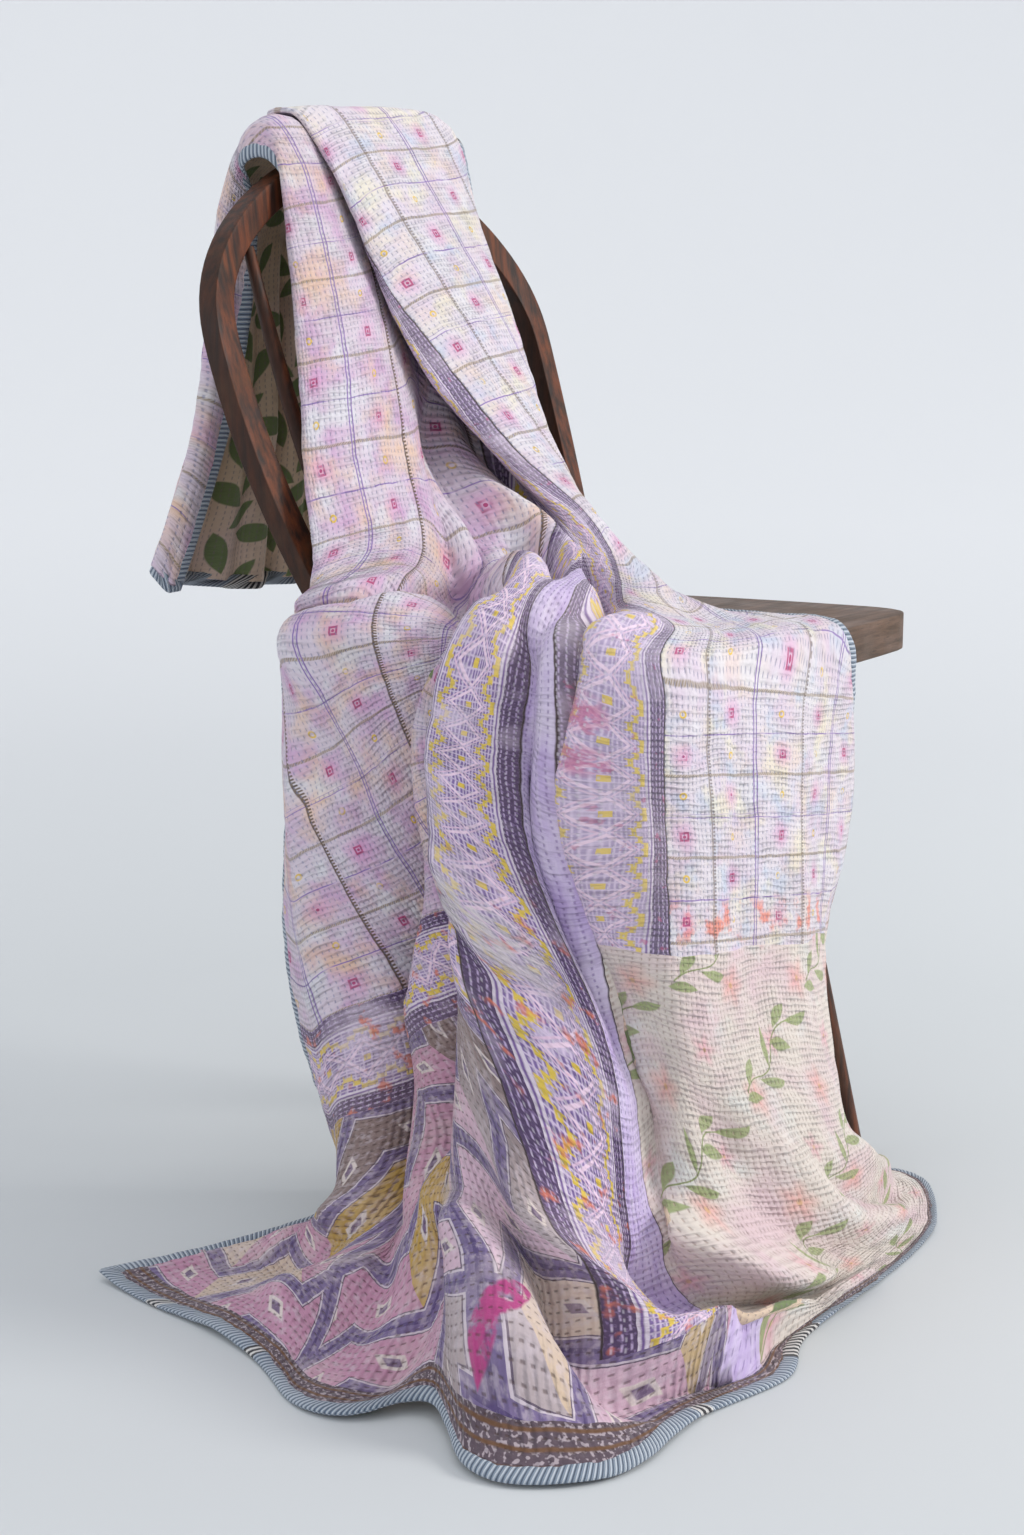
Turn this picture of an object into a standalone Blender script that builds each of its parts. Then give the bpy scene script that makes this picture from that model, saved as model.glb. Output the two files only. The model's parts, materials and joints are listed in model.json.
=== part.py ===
"""A kantha quilt draped over a small hoop-back wooden chair.

Metres, +Z up. The chair faces -Y and stands on z = 0. The quilt is one sheet: its tail hangs behind
the hoop, it passes over the top in overlapping pleats, is gathered on the seat, falls over the front
and the left side, and lies on the floor. A bound edge runs all round it.
"""
import math

import bmesh
import bpy
import numpy as np

CM = 0.01
GAP = 0.0003                 # clearance between two pieces that touch

# ---------------------------------------------------------------- chair sizes
SEAT_TOP = 0.445
SEAT_THICKNESS = 0.028
SEAT_FRONT_WIDTH = 0.400
SEAT_BACK_WIDTH = 0.354
SEAT_DEPTH = 0.330
SEAT_EDGE_BOW = 0.012        # how far each edge swells past a straight line
SEAT_CORNER = 0.045          # length of edge that each rounded corner takes up
SEAT_EASED_EDGE = 0.006

HOOP_FOOT_Y = 0.122
HOOP_FOOT_HALF = 0.1686      # half the width between the hoop's two feet
HOOP_WIDEST_HALF = 0.2057
HOOP_TOP = 0.799
HOOP_WIDEST_SHARE = 0.60     # share of the hoop's height at which it is widest
HOOP_SIDE_CURVE = 2.1        # a higher power bends a side more sharply near its foot
HOOP_CROWN_CURVE = 1.47      # 1 is an elliptical crown, a higher power a more pointed one
HOOP_WIDE = 0.0215           # section across the hoop's plane
HOOP_DEEP = 0.0165           # section through the hoop's plane
BACK_LEAN = math.radians(24.5)
BACK_CURVE = 0.38            # the back stands up straighter towards its top

SPINDLE_FEET = (-0.140, -0.070, 0.0, 0.070, 0.140)
SPINDLE_SPREAD = 1.09        # the fan is this much wider at the hoop
SPINDLE_HEIGHTS = (0, 0.45, 0.7, 1)                 # shares of its length: foot, swell, upper, top
SPINDLE_RADII = (0.0052, 0.0068, 0.0062, 0.0043)    # at those heights

# name, place of the leg's top, place of its foot
LEGS = (
    ("leg_front_left", (-0.110, -0.061), (-0.165, -0.136)),
    ("leg_front_right", (0.110, -0.061), (0.165, -0.136)),
    ("leg_back_left", (-0.090, 0.070), (-0.135, 0.125)),
    ("leg_back_right", (0.090, 0.070), (0.135, 0.125)),
)
LEG_TOP_RADIUS = 0.0135
LEG_FOOT_RADIUS = 0.0115
LEG_SIDES = 20

# ---------------------------------------------------------------- quilt sizes
QUILT_THICK = 0.003
BINDING_WIDE = 0.012
BINDING_THICK = 0.0034
SEWN_GAP = 0.0016            # between the quilt's edge and its binding
SHOULDER_OUT = 0.018         # the cloth rounds the hoop between two shoulders, this far before and
SHOULDER_DOWN = 0.010        # behind its middle and this much lower
COLUMNS = 46                 # facets' corners across the quilt
ROWS = 46                    # facets' corners along the quilt
SMOOTHING_ALONG = 0.2        # how far each point is drawn towards its neighbours' middle
SMOOTHING_ACROSS = 0.1
LYING_HEIGHT = SEAT_TOP + 0.002     # the middle of the cloth where it lies on the seat

FOLDS = (
    "left edge", "left turn", "left swell", "left panel", "dark valley", "gather one",
    "gather two", "gather three", "first band left", "first band right", "pale fold",
    "second valley", "second band left", "corner", "right panel", "right swell",
    "right turn", "right edge",
)
# A row for each section, from the tail to the floor: its name, then for each fold, in the order of
# FOLDS, its place x, y, z in centimetres.
SECTIONS = (
    ("tail hem", (
        (-14.5, 25.5, 46.6), (-18, 26.6, 46.3), (-20.4, 28, 48.6), (-16, 29.8, 47), (-12, 29.5, 46.4),
        (-9, 28.5, 46), (-5.5, 29, 46), (-2, 28.3, 46), (1, 29, 46), (4, 28.2, 46), (6.5, 28.8, 46),
        (8.5, 28, 46), (10.5, 28.8, 46), (13, 28, 46.2), (15.5, 28.8, 46.4), (17.6, 27.8, 46.8),
        (16, 26.4, 47.2), (13, 26, 47.5))),
    ("tail middle", (
        (-9, 25.2, 60), (-12, 25.8, 60), (-14.4, 27.4, 60), (-11, 29.4, 60), (-8, 29.2, 60),
        (-6, 28.4, 60), (-3.5, 28.8, 60), (-1, 28.2, 60), (1, 28.7, 60), (3, 28.1, 60), (5, 28.6, 60),
        (6.5, 28, 60), (8, 28.6, 60), (10, 28, 60), (12, 28.4, 60), (14, 27.4, 60),
        (12.5, 26.3, 60), (10, 26, 60))),
    ("tail top", (
        (-10.1, 25.1, 75), (-12.2, 25.8, 75), (-12.9, 27, 75), (-10, 28.2, 75), (-7.5, 28, 75),
        (-5.5, 27.6, 75), (-3.5, 27.8, 75), (-1.5, 27.5, 75), (0.5, 27.8, 75), (2.5, 27.6, 75),
        (4, 27.8, 75), (5.5, 27.6, 75), (7, 27.9, 75), (9, 27.8, 75), (11, 27.8, 75), (12.9, 27, 75),
        (13.1, 25.9, 75), (12, 24.7, 75))),
    ("over the hoop", (
        (-12, 23.5, 78.9), (-12, 23.5, 81), (-10.4, 23.5, 82), (-8.3, 23.5, 81.8), (-6.3, 23.5, 81.65),
        (-4, 23.5, 81.65), (-1.5, 23.5, 81.65), (1.5, 23.5, 81.65), (4.5, 23.5, 81.65),
        (6.2, 23.5, 81.9), (4.8, 23.5, 82.2), (0, 23.5, 82.2), (-6, 23.5, 82.2), (-8.8, 23.5, 82.6),
        (-3.8, 23.5, 83), (3, 23.5, 83.6), (9.4, 23.5, 83.7), (12.4, 23.5, 81.8))),
    ("upper back", (
        (-10.4, 21.6, 75), (-12.3, 20.7, 75), (-9.6, 19.8, 75.3), (-6.2, 20.1, 75), (-3, 20.6, 75),
        (-1, 20.9, 75), (1.2, 21, 75), (3.6, 20.8, 75), (6, 20.4, 75), (7, 19.8, 75), (5.5, 19.4, 75),
        (1.2, 19.4, 75), (-4.2, 19.3, 75), (-6.6, 18.9, 75.6), (-1.4, 17.9, 75), (4.6, 17.7, 75),
        (9.7, 18.6, 75), (11.4, 20.4, 75))),
    ("middle back", (
        (-12.5, 18.2, 65), (-15.6, 17, 65), (-11, 15.6, 65), (-5.6, 15.9, 64.7), (-3, 17, 65),
        (-0.5, 17.9, 65), (2.2, 18, 65), (4.8, 17.8, 65), (7, 17.2, 65), (7.4, 16.5, 65), (5, 16.1, 65),
        (1, 15.9, 65), (-3.2, 15.6, 65), (-5, 14.9, 65.1), (0.2, 13.8, 65), (6.5, 13.6, 65),
        (11, 15, 65), (12, 17, 65))),
    ("lower back", (
        (-15, 15.4, 57), (-18.2, 14.6, 56.8), (-13.5, 13, 57), (-8, 12.8, 57), (-5.6, 13.2, 56.6),
        (-4.2, 14.6, 56.8), (-2.2, 15, 57), (0.2, 14.7, 57), (2, 13.4, 57), (3.3, 12.6, 57),
        (3.6, 12, 57), (2.8, 11.6, 57), (1, 11, 57), (-1, 9.4, 56.7), (2.2, 7.9, 56.7), (6, 8.4, 56.4),
        (8.2, 10.4, 56.3), (7.2, 12.4, 56.4))),
    ("pinch", (
        (-18, 12.3, 50.5), (-20.6, 11.8, 51), (-15.5, 10.2, 51.2), (-10, 9.9, 51), (-8, 9.6, 50.4),
        (-7.8, 8.4, 49.8), (-6.8, 6.8, 50.6), (-4.7, 5.9, 50), (-2.8, 5, 49.3), (-1.2, 4.6, 49.6),
        (0.4, 4.4, 49.3), (1.5, 4.8, 49.2), (2.6, 4.2, 49.7), (4.2, 3.8, 50.3), (7, 4.2, 50.6),
        (9.2, 5.2, 49.9), (10.3, 6.8, 49.4), (10.9, 8.5, 47.7))),
    ("on the seat", (
        (-19.8, 11.4, 46.8), (-22.4, 10.6, 48.2), (-17.5, 8.4, 48.9), (-12.5, 7.3, 48),
        (-9.8, 6.4, 44), (-9.4, 5.5, 44.8), (-9.1, 4.6, 46.2), (-8.9, 3.8, 47.4), (-8.8, 2.6, 48.7),
        (-6.8, -1, 48.5), (-5.4, -2.2, 47.2), (-4.2, -2.6, 44), (-3.6, -3.7, 46.4), (-2.4, -5.6, 46.4),
        (0.6, -6.2, 45.4), (3.4, -6, 45.2), (5.8, -5.2, 45.1), (7.6, -3.4, 44.9))),
    ("seat rim", (
        (-20.4, 13.2, 45.9), (-23.2, 11, 47.4), (-21.4, 7.2, 48.6), (-18.6, 4.2, 48), (-16.6, 1.6, 45.2),
        (-16.6, 1, 45.6), (-16.8, 0.4, 46.4), (-17.2, -0.4, 47.4), (-17.6, -1.4, 48.4),
        (-17, -6.2, 48.4), (-15.6, -8, 47.4), (-14.6, -8.8, 45.6), (-15.4, -10.2, 46.8),
        (-14.6, -14.4, 46.2), (-7.6, -14.6, 45.3), (-1.6, -14.4, 45.2), (2.6, -14.2, 45.4),
        (5.2, -13.6, 45.2))),
    ("over the edge", (
        (-20.8, 14.4, 44.4), (-23.5, 11.2, 46), (-23.8, 6.6, 46.6), (-23, 2, 46.2), (-21.4, -1.2, 44.8),
        (-21.7, -1.8, 45.1), (-22, -2.4, 45.5), (-22.6, -3.1, 46), (-23.2, -4.1, 46.6),
        (-23.2, -9, 46.4), (-22.6, -10.8, 45.8), (-21.9, -11.7, 45.2), (-23, -13.5, 45.6),
        (-21.8, -17.8, 45.3), (-13.2, -18.2, 44.9), (-5, -18.3, 44.9), (0.2, -18.3, 45),
        (2.8, -18.3, 45))),
    ("below the edge", (
        (-19.5, 15.6, 40.4), (-24, 11.8, 41.2), (-25, 7.2, 41.4), (-24.3, 2.2, 41), (-21.7, -0.9, 40.8),
        (-22.3, -1.5, 41), (-22.9, -2.1, 41.2), (-23.8, -2.8, 41.4), (-24.9, -3.8, 41.6),
        (-25.2, -9.2, 41.4), (-24.2, -11, 41.2), (-22.2, -11.7, 41), (-24.6, -13.4, 41.2),
        (-23, -18.7, 41.7), (-13.5, -19, 41.6), (-4.8, -19, 41.6), (1.6, -18.9, 41.6),
        (4.3, -18.8, 41.6))),
    ("hang high", (
        (-18, 16.6, 34), (-24, 11.9, 33), (-26, 8, 33), (-25.2, 3, 33), (-22, -0.2, 33),
        (-23, -0.9, 33), (-23.8, -1.6, 33), (-24.8, -2.3, 33), (-26, -3.4, 33), (-26.5, -9.3, 33),
        (-25, -11, 33), (-22.8, -11.6, 33), (-25.5, -13.2, 33), (-24, -19, 33), (-14, -20.5, 33),
        (-4.5, -20, 33), (3.5, -19.2, 33), (6, -16.5, 34))),
    ("hang low", (
        (-23, 11.5, 20), (-26, 9, 20), (-27, 6, 20), (-26, 2.5, 20), (-22.8, 0, 20), (-24.8, -1, 20),
        (-27, -2.5, 20), (-28, -4.5, 20), (-28.5, -7, 20), (-28.5, -14.5, 21), (-26.5, -17.5, 21),
        (-23.2, -17.3, 20), (-24.2, -19.5, 20), (-22.5, -21.5, 20), (-14, -22.5, 20),
        (-6, -21.5, 20), (0.8, -19.5, 20), (4, -15, 21))),
    ("skirt", (
        (-20.4, 11.2, 8.6), (-23.4, 8.4, 8.4), (-26.2, 5.4, 8.6), (-27.6, 1.9, 8.8), (-25.2, -0.6, 8), (-29.5, -2, 9),
        (-32, -5.5, 9), (-32.5, -8.5, 9), (-31.5, -11, 9.5), (-30, -16.5, 10), (-27.5, -18.5, 10),
        (-24.2, -18.8, 9), (-23.2, -21, 9), (-19.5, -23, 9), (-12, -24, 9), (-5, -23, 9),
        (0.5, -20, 9), (5, -15, 10))),
    ("floor middle", (
        (-18.6, 10.2, 1.6), (-24, 8.5, 1.2), (-29, 5, 1.8), (-32, 1, 1.8), (-33, -3, 1.5), (-35, -6, 3),
        (-36, -10, 4.5), (-38, -15, 5), (-37, -20, 4), (-33, -22, 2.5), (-29, -22, 3),
        (-26, -22.5, 1.2), (-23, -23.5, 2), (-18, -24.5, 2), (-10, -25, 2), (-1, -24.5, 2.5),
        (7, -20.7, 2.1), (7.4, -15.6, 3))),
    ("floor hem", (
        (-37.2, 18.9, 0.6), (-38.6, 12.5, 0.2), (-39.5, 6.5, 0.4), (-41.5, 0.5, 0.1), (-44.8, -5, 0.2),
        (-44.5, -9.4, 0.6), (-41, -13, 1), (-46.3, -20, 0.1), (-41.5, -26.6, 0.1), (-32.5, -26.8, 0.4),
        (-26.5, -28.5, 0.1), (-23, -28.7, 0.1), (-18.5, -27, 0.3), (-11, -27, 0.1), (-1, -27, 0.2),
        (7, -25.5, 0.1), (13.5, -20.9, 0.4), (11.4, -16.2, 0.8))),
)


# ---------------------------------------------------------------- shared tools
def material(name, colour, roughness):
    finish = bpy.data.materials.new(name)
    finish.use_nodes = True
    shader = finish.node_tree.nodes["Principled BSDF"]
    shader.inputs["Base Color"].default_value = (*colour, 1.0)
    shader.inputs["Roughness"].default_value = roughness
    return finish


def solid(name, points, faces, finish):
    """One closed solid, its faces turned outwards."""
    mesh = bpy.data.meshes.new(name)
    mesh.from_pydata([tuple(map(float, point)) for point in points], [], faces)
    shell = bmesh.new()
    shell.from_mesh(mesh)
    bmesh.ops.recalc_face_normals(shell, faces=shell.faces)
    bmesh.ops.triangulate(shell, faces=shell.faces)
    shell.to_mesh(mesh)
    shell.free()
    mesh.shade_smooth()
    mesh.set_sharp_from_angle(angle=math.radians(40))
    mesh.materials.append(finish)
    thing = bpy.data.objects.new(name, mesh)
    bpy.context.scene.collection.objects.link(thing)
    return thing


def bar(name, rings, finish):
    """A solid bar through a list of rings, each with the same number of points."""
    sides = len(rings[0])
    points = [point for ring in rings for point in ring]
    faces = []
    for level in range(len(rings) - 1):
        low, high = level * sides, (level + 1) * sides
        for side in range(sides):
            after = (side + 1) % sides
            faces.append((low + side, low + after, high + after, high + side))
    faces.append(tuple(range(sides))[::-1])
    faces.append(tuple(range(len(points) - sides, len(points))))
    return solid(name, points, faces, finish)


def smooth_curve(rows, positions):
    """A Catmull-Rom curve through evenly numbered rows, read at fractional row numbers."""
    last = len(rows) - 1
    slopes = np.empty_like(rows)
    slopes[1:-1] = (rows[2:] - rows[:-2]) / 2
    slopes[0] = rows[1] - rows[0]
    slopes[last] = rows[last] - rows[last - 1]
    start = np.clip(np.floor(positions).astype(int), 0, last - 1)
    part = (positions - start).reshape((-1,) + (1,) * (rows.ndim - 1))
    return ((2 * part**3 - 3 * part**2 + 1) * rows[start] + (part**3 - 2 * part**2 + part) * slopes[start]
            + (3 * part**2 - 2 * part**3) * rows[start + 1] + (part**3 - part**2) * slopes[start + 1])


# ---------------------------------------------------------------- chair
def seat_outline():
    """The seat's edge, front left corner first: four swelling edges joined by rounded corners."""
    front, back = -SEAT_DEPTH / 2, SEAT_DEPTH / 2
    corners = [np.array(corner) for corner in (
        (-SEAT_FRONT_WIDTH / 2, front), (SEAT_FRONT_WIDTH / 2, front),
        (SEAT_BACK_WIDTH / 2, back), (-SEAT_BACK_WIDTH / 2, back))]
    edges = []
    for start, end in zip(corners, corners[1:] + corners[:1]):
        along = end - start
        length = np.linalg.norm(along)
        outward = np.array((along[1], -along[0])) / length
        shares = np.linspace(SEAT_CORNER / length, 1 - SEAT_CORNER / length, 9)
        edges.append([start + along * share + outward * SEAT_EDGE_BOW * 4 * share * (1 - share)
                      for share in shares])
    outline = []
    for number, edge in enumerate(edges):
        following = edges[(number + 1) % 4]
        corner = corners[(number + 1) % 4]
        outline += edge
        for share in np.linspace(0, 1, 7)[1:-1]:
            outline.append((1 - share)**2 * edge[-1] + 2 * share * (1 - share) * corner
                           + share**2 * following[0])
    return np.array(outline)


def make_seat(finish):
    outline = seat_outline()
    rings = [[(x, y, z) for x, y in outline] for z in (SEAT_TOP - SEAT_THICKNESS, SEAT_TOP)]
    seat = bar("chair_seat", rings, finish)
    eased = seat.modifiers.new("eased edge", "BEVEL")
    eased.width = SEAT_EASED_EDGE
    eased.segments = 3
    eased.limit_method = "ANGLE"
    eased.angle_limit = math.radians(60)
    return seat


def back_y(z):
    """How far back the leaning, slightly hollow back stands at height z."""
    rise = z - SEAT_TOP
    return HOOP_FOOT_Y + math.tan(BACK_LEAN) * rise - BACK_CURVE * rise * rise


def hoop_line():
    """Half the hoop's centre line, from its foot to its crown, as half-widths and heights."""
    foot = SEAT_TOP + GAP
    widest = SEAT_TOP + HOOP_WIDEST_SHARE * (HOOP_TOP - SEAT_TOP)
    climb = np.linspace(0, 1, 14)
    turn = np.linspace(0, math.pi / 2, 15)[1:]
    lower = HOOP_FOOT_HALF + (HOOP_WIDEST_HALF - HOOP_FOOT_HALF) * (1 - (1 - climb)**HOOP_SIDE_CURVE)
    crown = HOOP_WIDEST_HALF * np.clip(np.cos(turn), 0, 1)**HOOP_CROWN_CURVE
    halves = np.concatenate((lower, crown))
    heights = np.concatenate((foot + climb * (widest - foot), widest + (HOOP_TOP - widest) * np.sin(turn)))
    return halves, heights


def make_hoop(finish):
    halves, heights = hoop_line()
    xs = np.concatenate((-halves, halves[-2::-1]))
    zs = np.concatenate((heights, heights[-2::-1]))
    centres = np.array([(x, back_y(z), z) for x, z in zip(xs, zs)])
    rings = []
    for number, centre in enumerate(centres):
        ahead = centres[min(number + 1, len(centres) - 1)] - centres[max(number - 1, 0)]
        if number in (0, len(centres) - 1):
            across, deep = np.array((math.copysign(1, ahead[2]), 0, 0)), np.array((0, 1, 0))
        else:
            ahead /= np.linalg.norm(ahead)
            across = np.cross((0, 1, 0), ahead)
            across /= np.linalg.norm(across)
            deep = np.cross(ahead, across)
        rings.append([centre + across * HOOP_WIDE / 2 * a + deep * HOOP_DEEP / 2 * d
                      for a, d in ((-1, -1), (1, -1), (1, 1), (-1, 1))])
    return bar("chair_hoop", rings, finish)


def hoop_underside(x):
    """Height of the hoop's inner face above the point x across the chair."""
    halves, heights = hoop_line()
    run, climb = np.gradient(halves), np.gradient(heights)
    length = np.hypot(run, climb)
    inner_halves = halves - climb / length * HOOP_WIDE / 2
    inner_heights = heights + run / length * HOOP_WIDE / 2
    arch = inner_halves.argmax()
    return float(np.interp(-abs(x), -inner_halves[arch:], inner_heights[arch:]))


def make_spindle(number, foot_x, finish):
    top_x = foot_x * SPINDLE_SPREAD
    top_z = hoop_underside(abs(top_x) + SPINDLE_RADII[-1]) - GAP
    bottom_z = SEAT_TOP + GAP
    rings = []
    for share in np.linspace(0, 1, 9):
        z = bottom_z + share * (top_z - bottom_z)
        radius = float(np.interp(share, SPINDLE_HEIGHTS, SPINDLE_RADII))
        centre = np.array((foot_x + share * (top_x - foot_x), back_y(z), z))
        rings.append([centre + radius * np.array((math.cos(turn), math.sin(turn), 0))
                      for turn in np.linspace(0, 2 * math.pi, 12, endpoint=False)])
    return bar(f"chair_spindle_{number}", rings, finish)


def make_leg(name, top, foot, finish):
    rings = []
    for z, (x, y), radius in ((0.0, foot, LEG_FOOT_RADIUS),
                              (SEAT_TOP - SEAT_THICKNESS - GAP, top, LEG_TOP_RADIUS)):
        rings.append([(x + radius * math.cos(turn), y + radius * math.sin(turn), z)
                      for turn in np.linspace(0, 2 * math.pi, LEG_SIDES, endpoint=False)])
    return bar(name, rings, finish)


# ---------------------------------------------------------------- quilt
def rest_on_seat(points):
    """Lifts the points that would sink into the seat, so that the cloth lies on it."""
    outline = seat_outline()
    for point in points.reshape(-1, 3):
        inside = False
        for start, end in zip(outline, np.roll(outline, -1, axis=0)):
            if (start[1] > point[1]) != (end[1] > point[1]):
                crossing = start[0] + (point[1] - start[1]) / (end[1] - start[1]) * (end[0] - start[0])
                inside ^= bool(point[0] < crossing)
        if inside and point[2] > SEAT_TOP - SEAT_THICKNESS:
            point[2] = max(point[2], LYING_HEIGHT)


def quilt_surface():
    """The middle of the cloth, as rows from the tail to the floor of points from left to right."""
    guides = []
    for name, places in SECTIONS:
        section = np.array(places) * CM
        if name == "over the hoop":
            shoulder = np.array((0, SHOULDER_OUT, -SHOULDER_DOWN))
            guides += [section + shoulder, section, section + shoulder * (1, -1, 1)]
        else:
            guides.append(section)
    guides = np.array(guides)
    along = smooth_curve(guides, np.linspace(0, len(guides) - 1, ROWS))
    across = smooth_curve(np.swapaxes(along, 0, 1), np.linspace(0, len(FOLDS) - 1, COLUMNS))
    surface = np.swapaxes(across, 0, 1)
    relaxed = surface.copy()
    relaxed[1:-1] += (surface[2:] + surface[:-2] - 2 * surface[1:-1]) * SMOOTHING_ALONG
    relaxed[:, 1:-1] += (surface[:, 2:] + surface[:, :-2] - 2 * surface[:, 1:-1]) * SMOOTHING_ACROSS
    rest_on_seat(relaxed)
    relaxed[..., 2] = np.maximum(relaxed[..., 2], QUILT_THICK / 2)
    return relaxed


def normals_of(surface, seam=None):
    """Unit normals. Round the border they are square to the step that leads out to the seam."""
    down = np.gradient(surface, axis=0)
    side = np.gradient(surface, axis=1)
    if seam is not None:
        down[0], down[-1] = surface[0] - seam[0], seam[-1] - surface[-1]
        side[1:-1, 0] = surface[1:-1, 0] - seam[1:-1, 0]
        side[1:-1, -1] = seam[1:-1, -1] - surface[1:-1, -1]
    normals = np.cross(side, down)
    return normals / np.linalg.norm(normals, axis=2, keepdims=True)


def inset(surface, margin):
    """The surface with its edges drawn in by a margin measured along the cloth."""
    drawn_in = np.empty_like(surface)
    numbers = np.arange(COLUMNS)
    for line, fresh in zip(surface, drawn_in):
        lengths = np.concatenate(((0,), np.cumsum(np.linalg.norm(np.diff(line, axis=0), axis=1))))
        first, last = np.interp((margin, lengths[-1] - margin), lengths, numbers)
        places = first + (last - first) * numbers / numbers[-1]
        for part in range(3):
            fresh[:, part] = np.interp(places, numbers, line[:, part])
    for end, beside in ((0, 1), (-1, -2)):
        inward = drawn_in[beside] - drawn_in[end]
        drawn_in[end] += inward * margin / np.linalg.norm(inward, axis=1, keepdims=True)
    return drawn_in


def border(grid):
    """The grid's outermost points in order, once round."""
    return np.concatenate((grid[0, :-1], grid[:-1, -1], grid[-1, :0:-1], grid[:0:-1, 0]))


def make_quilt_and_binding(cloth, edging):
    outline = quilt_surface()
    seam = inset(outline, BINDING_WIDE)
    surface = inset(outline, BINDING_WIDE + SEWN_GAP)
    normals = normals_of(surface, seam)

    faces_out = surface + normals * QUILT_THICK / 2
    faces_in = surface - normals * QUILT_THICK / 2
    points = np.concatenate((faces_out.reshape(-1, 3), faces_in.reshape(-1, 3)))
    points[:, 2] = np.maximum(points[:, 2], 0.0)
    under = ROWS * COLUMNS
    faces = []
    for row in range(ROWS - 1):
        for column in range(COLUMNS - 1):
            corner = row * COLUMNS + column
            ring = (corner, corner + 1, corner + COLUMNS + 1, corner + COLUMNS)
            faces.append(ring)
            faces.append(tuple(under + index for index in reversed(ring)))
    rim = border(np.arange(ROWS * COLUMNS).reshape(ROWS, COLUMNS))
    for here, after in zip(rim.tolist(), np.roll(rim, -1).tolist()):
        faces += [(after, here, here + under), (after, here + under, after + under)]
    quilt = solid("quilt", points, faces, cloth)

    inner, inner_lift = border(seam), border(normals) * BINDING_THICK / 2
    outer, outer_lift = border(outline), border(normals_of(outline)) * BINDING_THICK / 2
    ring_points = np.concatenate((
        inner + inner_lift, outer + outer_lift, outer - outer_lift, inner - inner_lift))
    ring_points[:, 2] = np.maximum(ring_points[:, 2], 0.0)
    count = len(inner)
    ring_faces = []
    for here in range(count):
        after = (here + 1) % count
        for side in range(3):
            near, far = side * count, (side + 1) * count
            ring_faces.append((near + here, near + after, far + after, far + here))
        low = 3 * count
        ring_faces += [(low + here, low + after, after), (low + here, after, here)]
    binding = solid("binding", ring_points, ring_faces, edging)
    return quilt, binding


def centre_on_origin(things):
    """Moves every mesh so that the middle of the whole part's footprint is the origin."""
    bpy.context.view_layer.update()
    corners = np.array([vertex.co[:2] for thing in things for vertex in thing.data.vertices])
    middle = (corners.min(axis=0) + corners.max(axis=0)) / 2
    for thing in things:
        for vertex in thing.data.vertices:
            vertex.co.x -= middle[0]
            vertex.co.y -= middle[1]


def main():
    for thing in list(bpy.data.objects):
        bpy.data.objects.remove(thing)
    wood = material("dark stained beech", (0.11, 0.055, 0.030), 0.5)
    cloth = material("kantha cotton", (0.78, 0.66, 0.74), 0.9)
    edging = material("blue-grey binding cotton", (0.30, 0.35, 0.42), 0.9)
    things = [make_seat(wood), make_hoop(wood)]
    things += [make_spindle(number, x, wood) for number, x in enumerate(SPINDLE_FEET, 1)]
    things += [make_leg(name, top, foot, wood) for name, top, foot in LEGS]
    things += make_quilt_and_binding(cloth, edging)
    centre_on_origin(things)


main()
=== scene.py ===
"""A kantha quilt draped over a small hoop-back wooden chair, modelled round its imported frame."""
import json
import math

import bmesh
import bpy
import numpy as np
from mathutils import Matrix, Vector

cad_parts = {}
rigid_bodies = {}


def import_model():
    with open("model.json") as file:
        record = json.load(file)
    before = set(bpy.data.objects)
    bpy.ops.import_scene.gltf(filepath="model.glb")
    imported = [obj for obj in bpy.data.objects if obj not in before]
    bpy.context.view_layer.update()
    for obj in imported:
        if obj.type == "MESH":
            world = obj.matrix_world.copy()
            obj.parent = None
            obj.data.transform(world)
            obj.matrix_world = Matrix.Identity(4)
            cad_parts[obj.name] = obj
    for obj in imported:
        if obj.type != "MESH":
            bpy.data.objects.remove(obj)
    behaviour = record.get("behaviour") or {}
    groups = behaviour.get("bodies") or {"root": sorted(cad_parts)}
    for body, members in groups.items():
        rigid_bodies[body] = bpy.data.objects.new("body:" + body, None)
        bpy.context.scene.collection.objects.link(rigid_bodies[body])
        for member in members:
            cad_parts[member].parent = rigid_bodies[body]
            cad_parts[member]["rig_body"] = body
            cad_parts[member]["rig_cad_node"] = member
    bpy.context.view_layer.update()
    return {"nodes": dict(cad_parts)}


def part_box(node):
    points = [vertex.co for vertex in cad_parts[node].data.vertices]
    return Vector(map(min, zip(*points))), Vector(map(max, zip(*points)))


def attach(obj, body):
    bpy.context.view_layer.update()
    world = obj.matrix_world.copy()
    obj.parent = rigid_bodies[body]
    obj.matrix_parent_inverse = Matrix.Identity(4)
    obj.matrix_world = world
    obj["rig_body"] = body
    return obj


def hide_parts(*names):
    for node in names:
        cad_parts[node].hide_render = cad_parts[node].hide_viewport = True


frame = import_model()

seat_low, seat_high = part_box("chair_seat")
MIDDLE = np.array(((seat_low.x + seat_high.x) / 2, (seat_low.y + seat_high.y) / 2, 0.0))


# ------------------------------------------------------------------ chair
# An old chair of steam-bent and turned beech: a hoop and five spindles set into a shaped seat, and
# four splayed legs. It is stained dark brown, and the stain has worn off its arrises to bare wood.
ARRIS = 0.0013               # how far the sharp edges have been rubbed down
SHARP = math.radians(40)     # an edge that turns by more than this is an arris
QUAD_ANGLE = math.radians(60)                   # triangles this near to level make one face


def ink(code):
    """An sRGB hex colour as a linear one."""
    parts = [int(code[place:place + 2], 16) / 255 for place in (1, 3, 5)]
    return [part / 12.92 if part <= 0.04045 else ((part + 0.055) / 1.055)**2.4 for part in parts] + [1]


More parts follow.
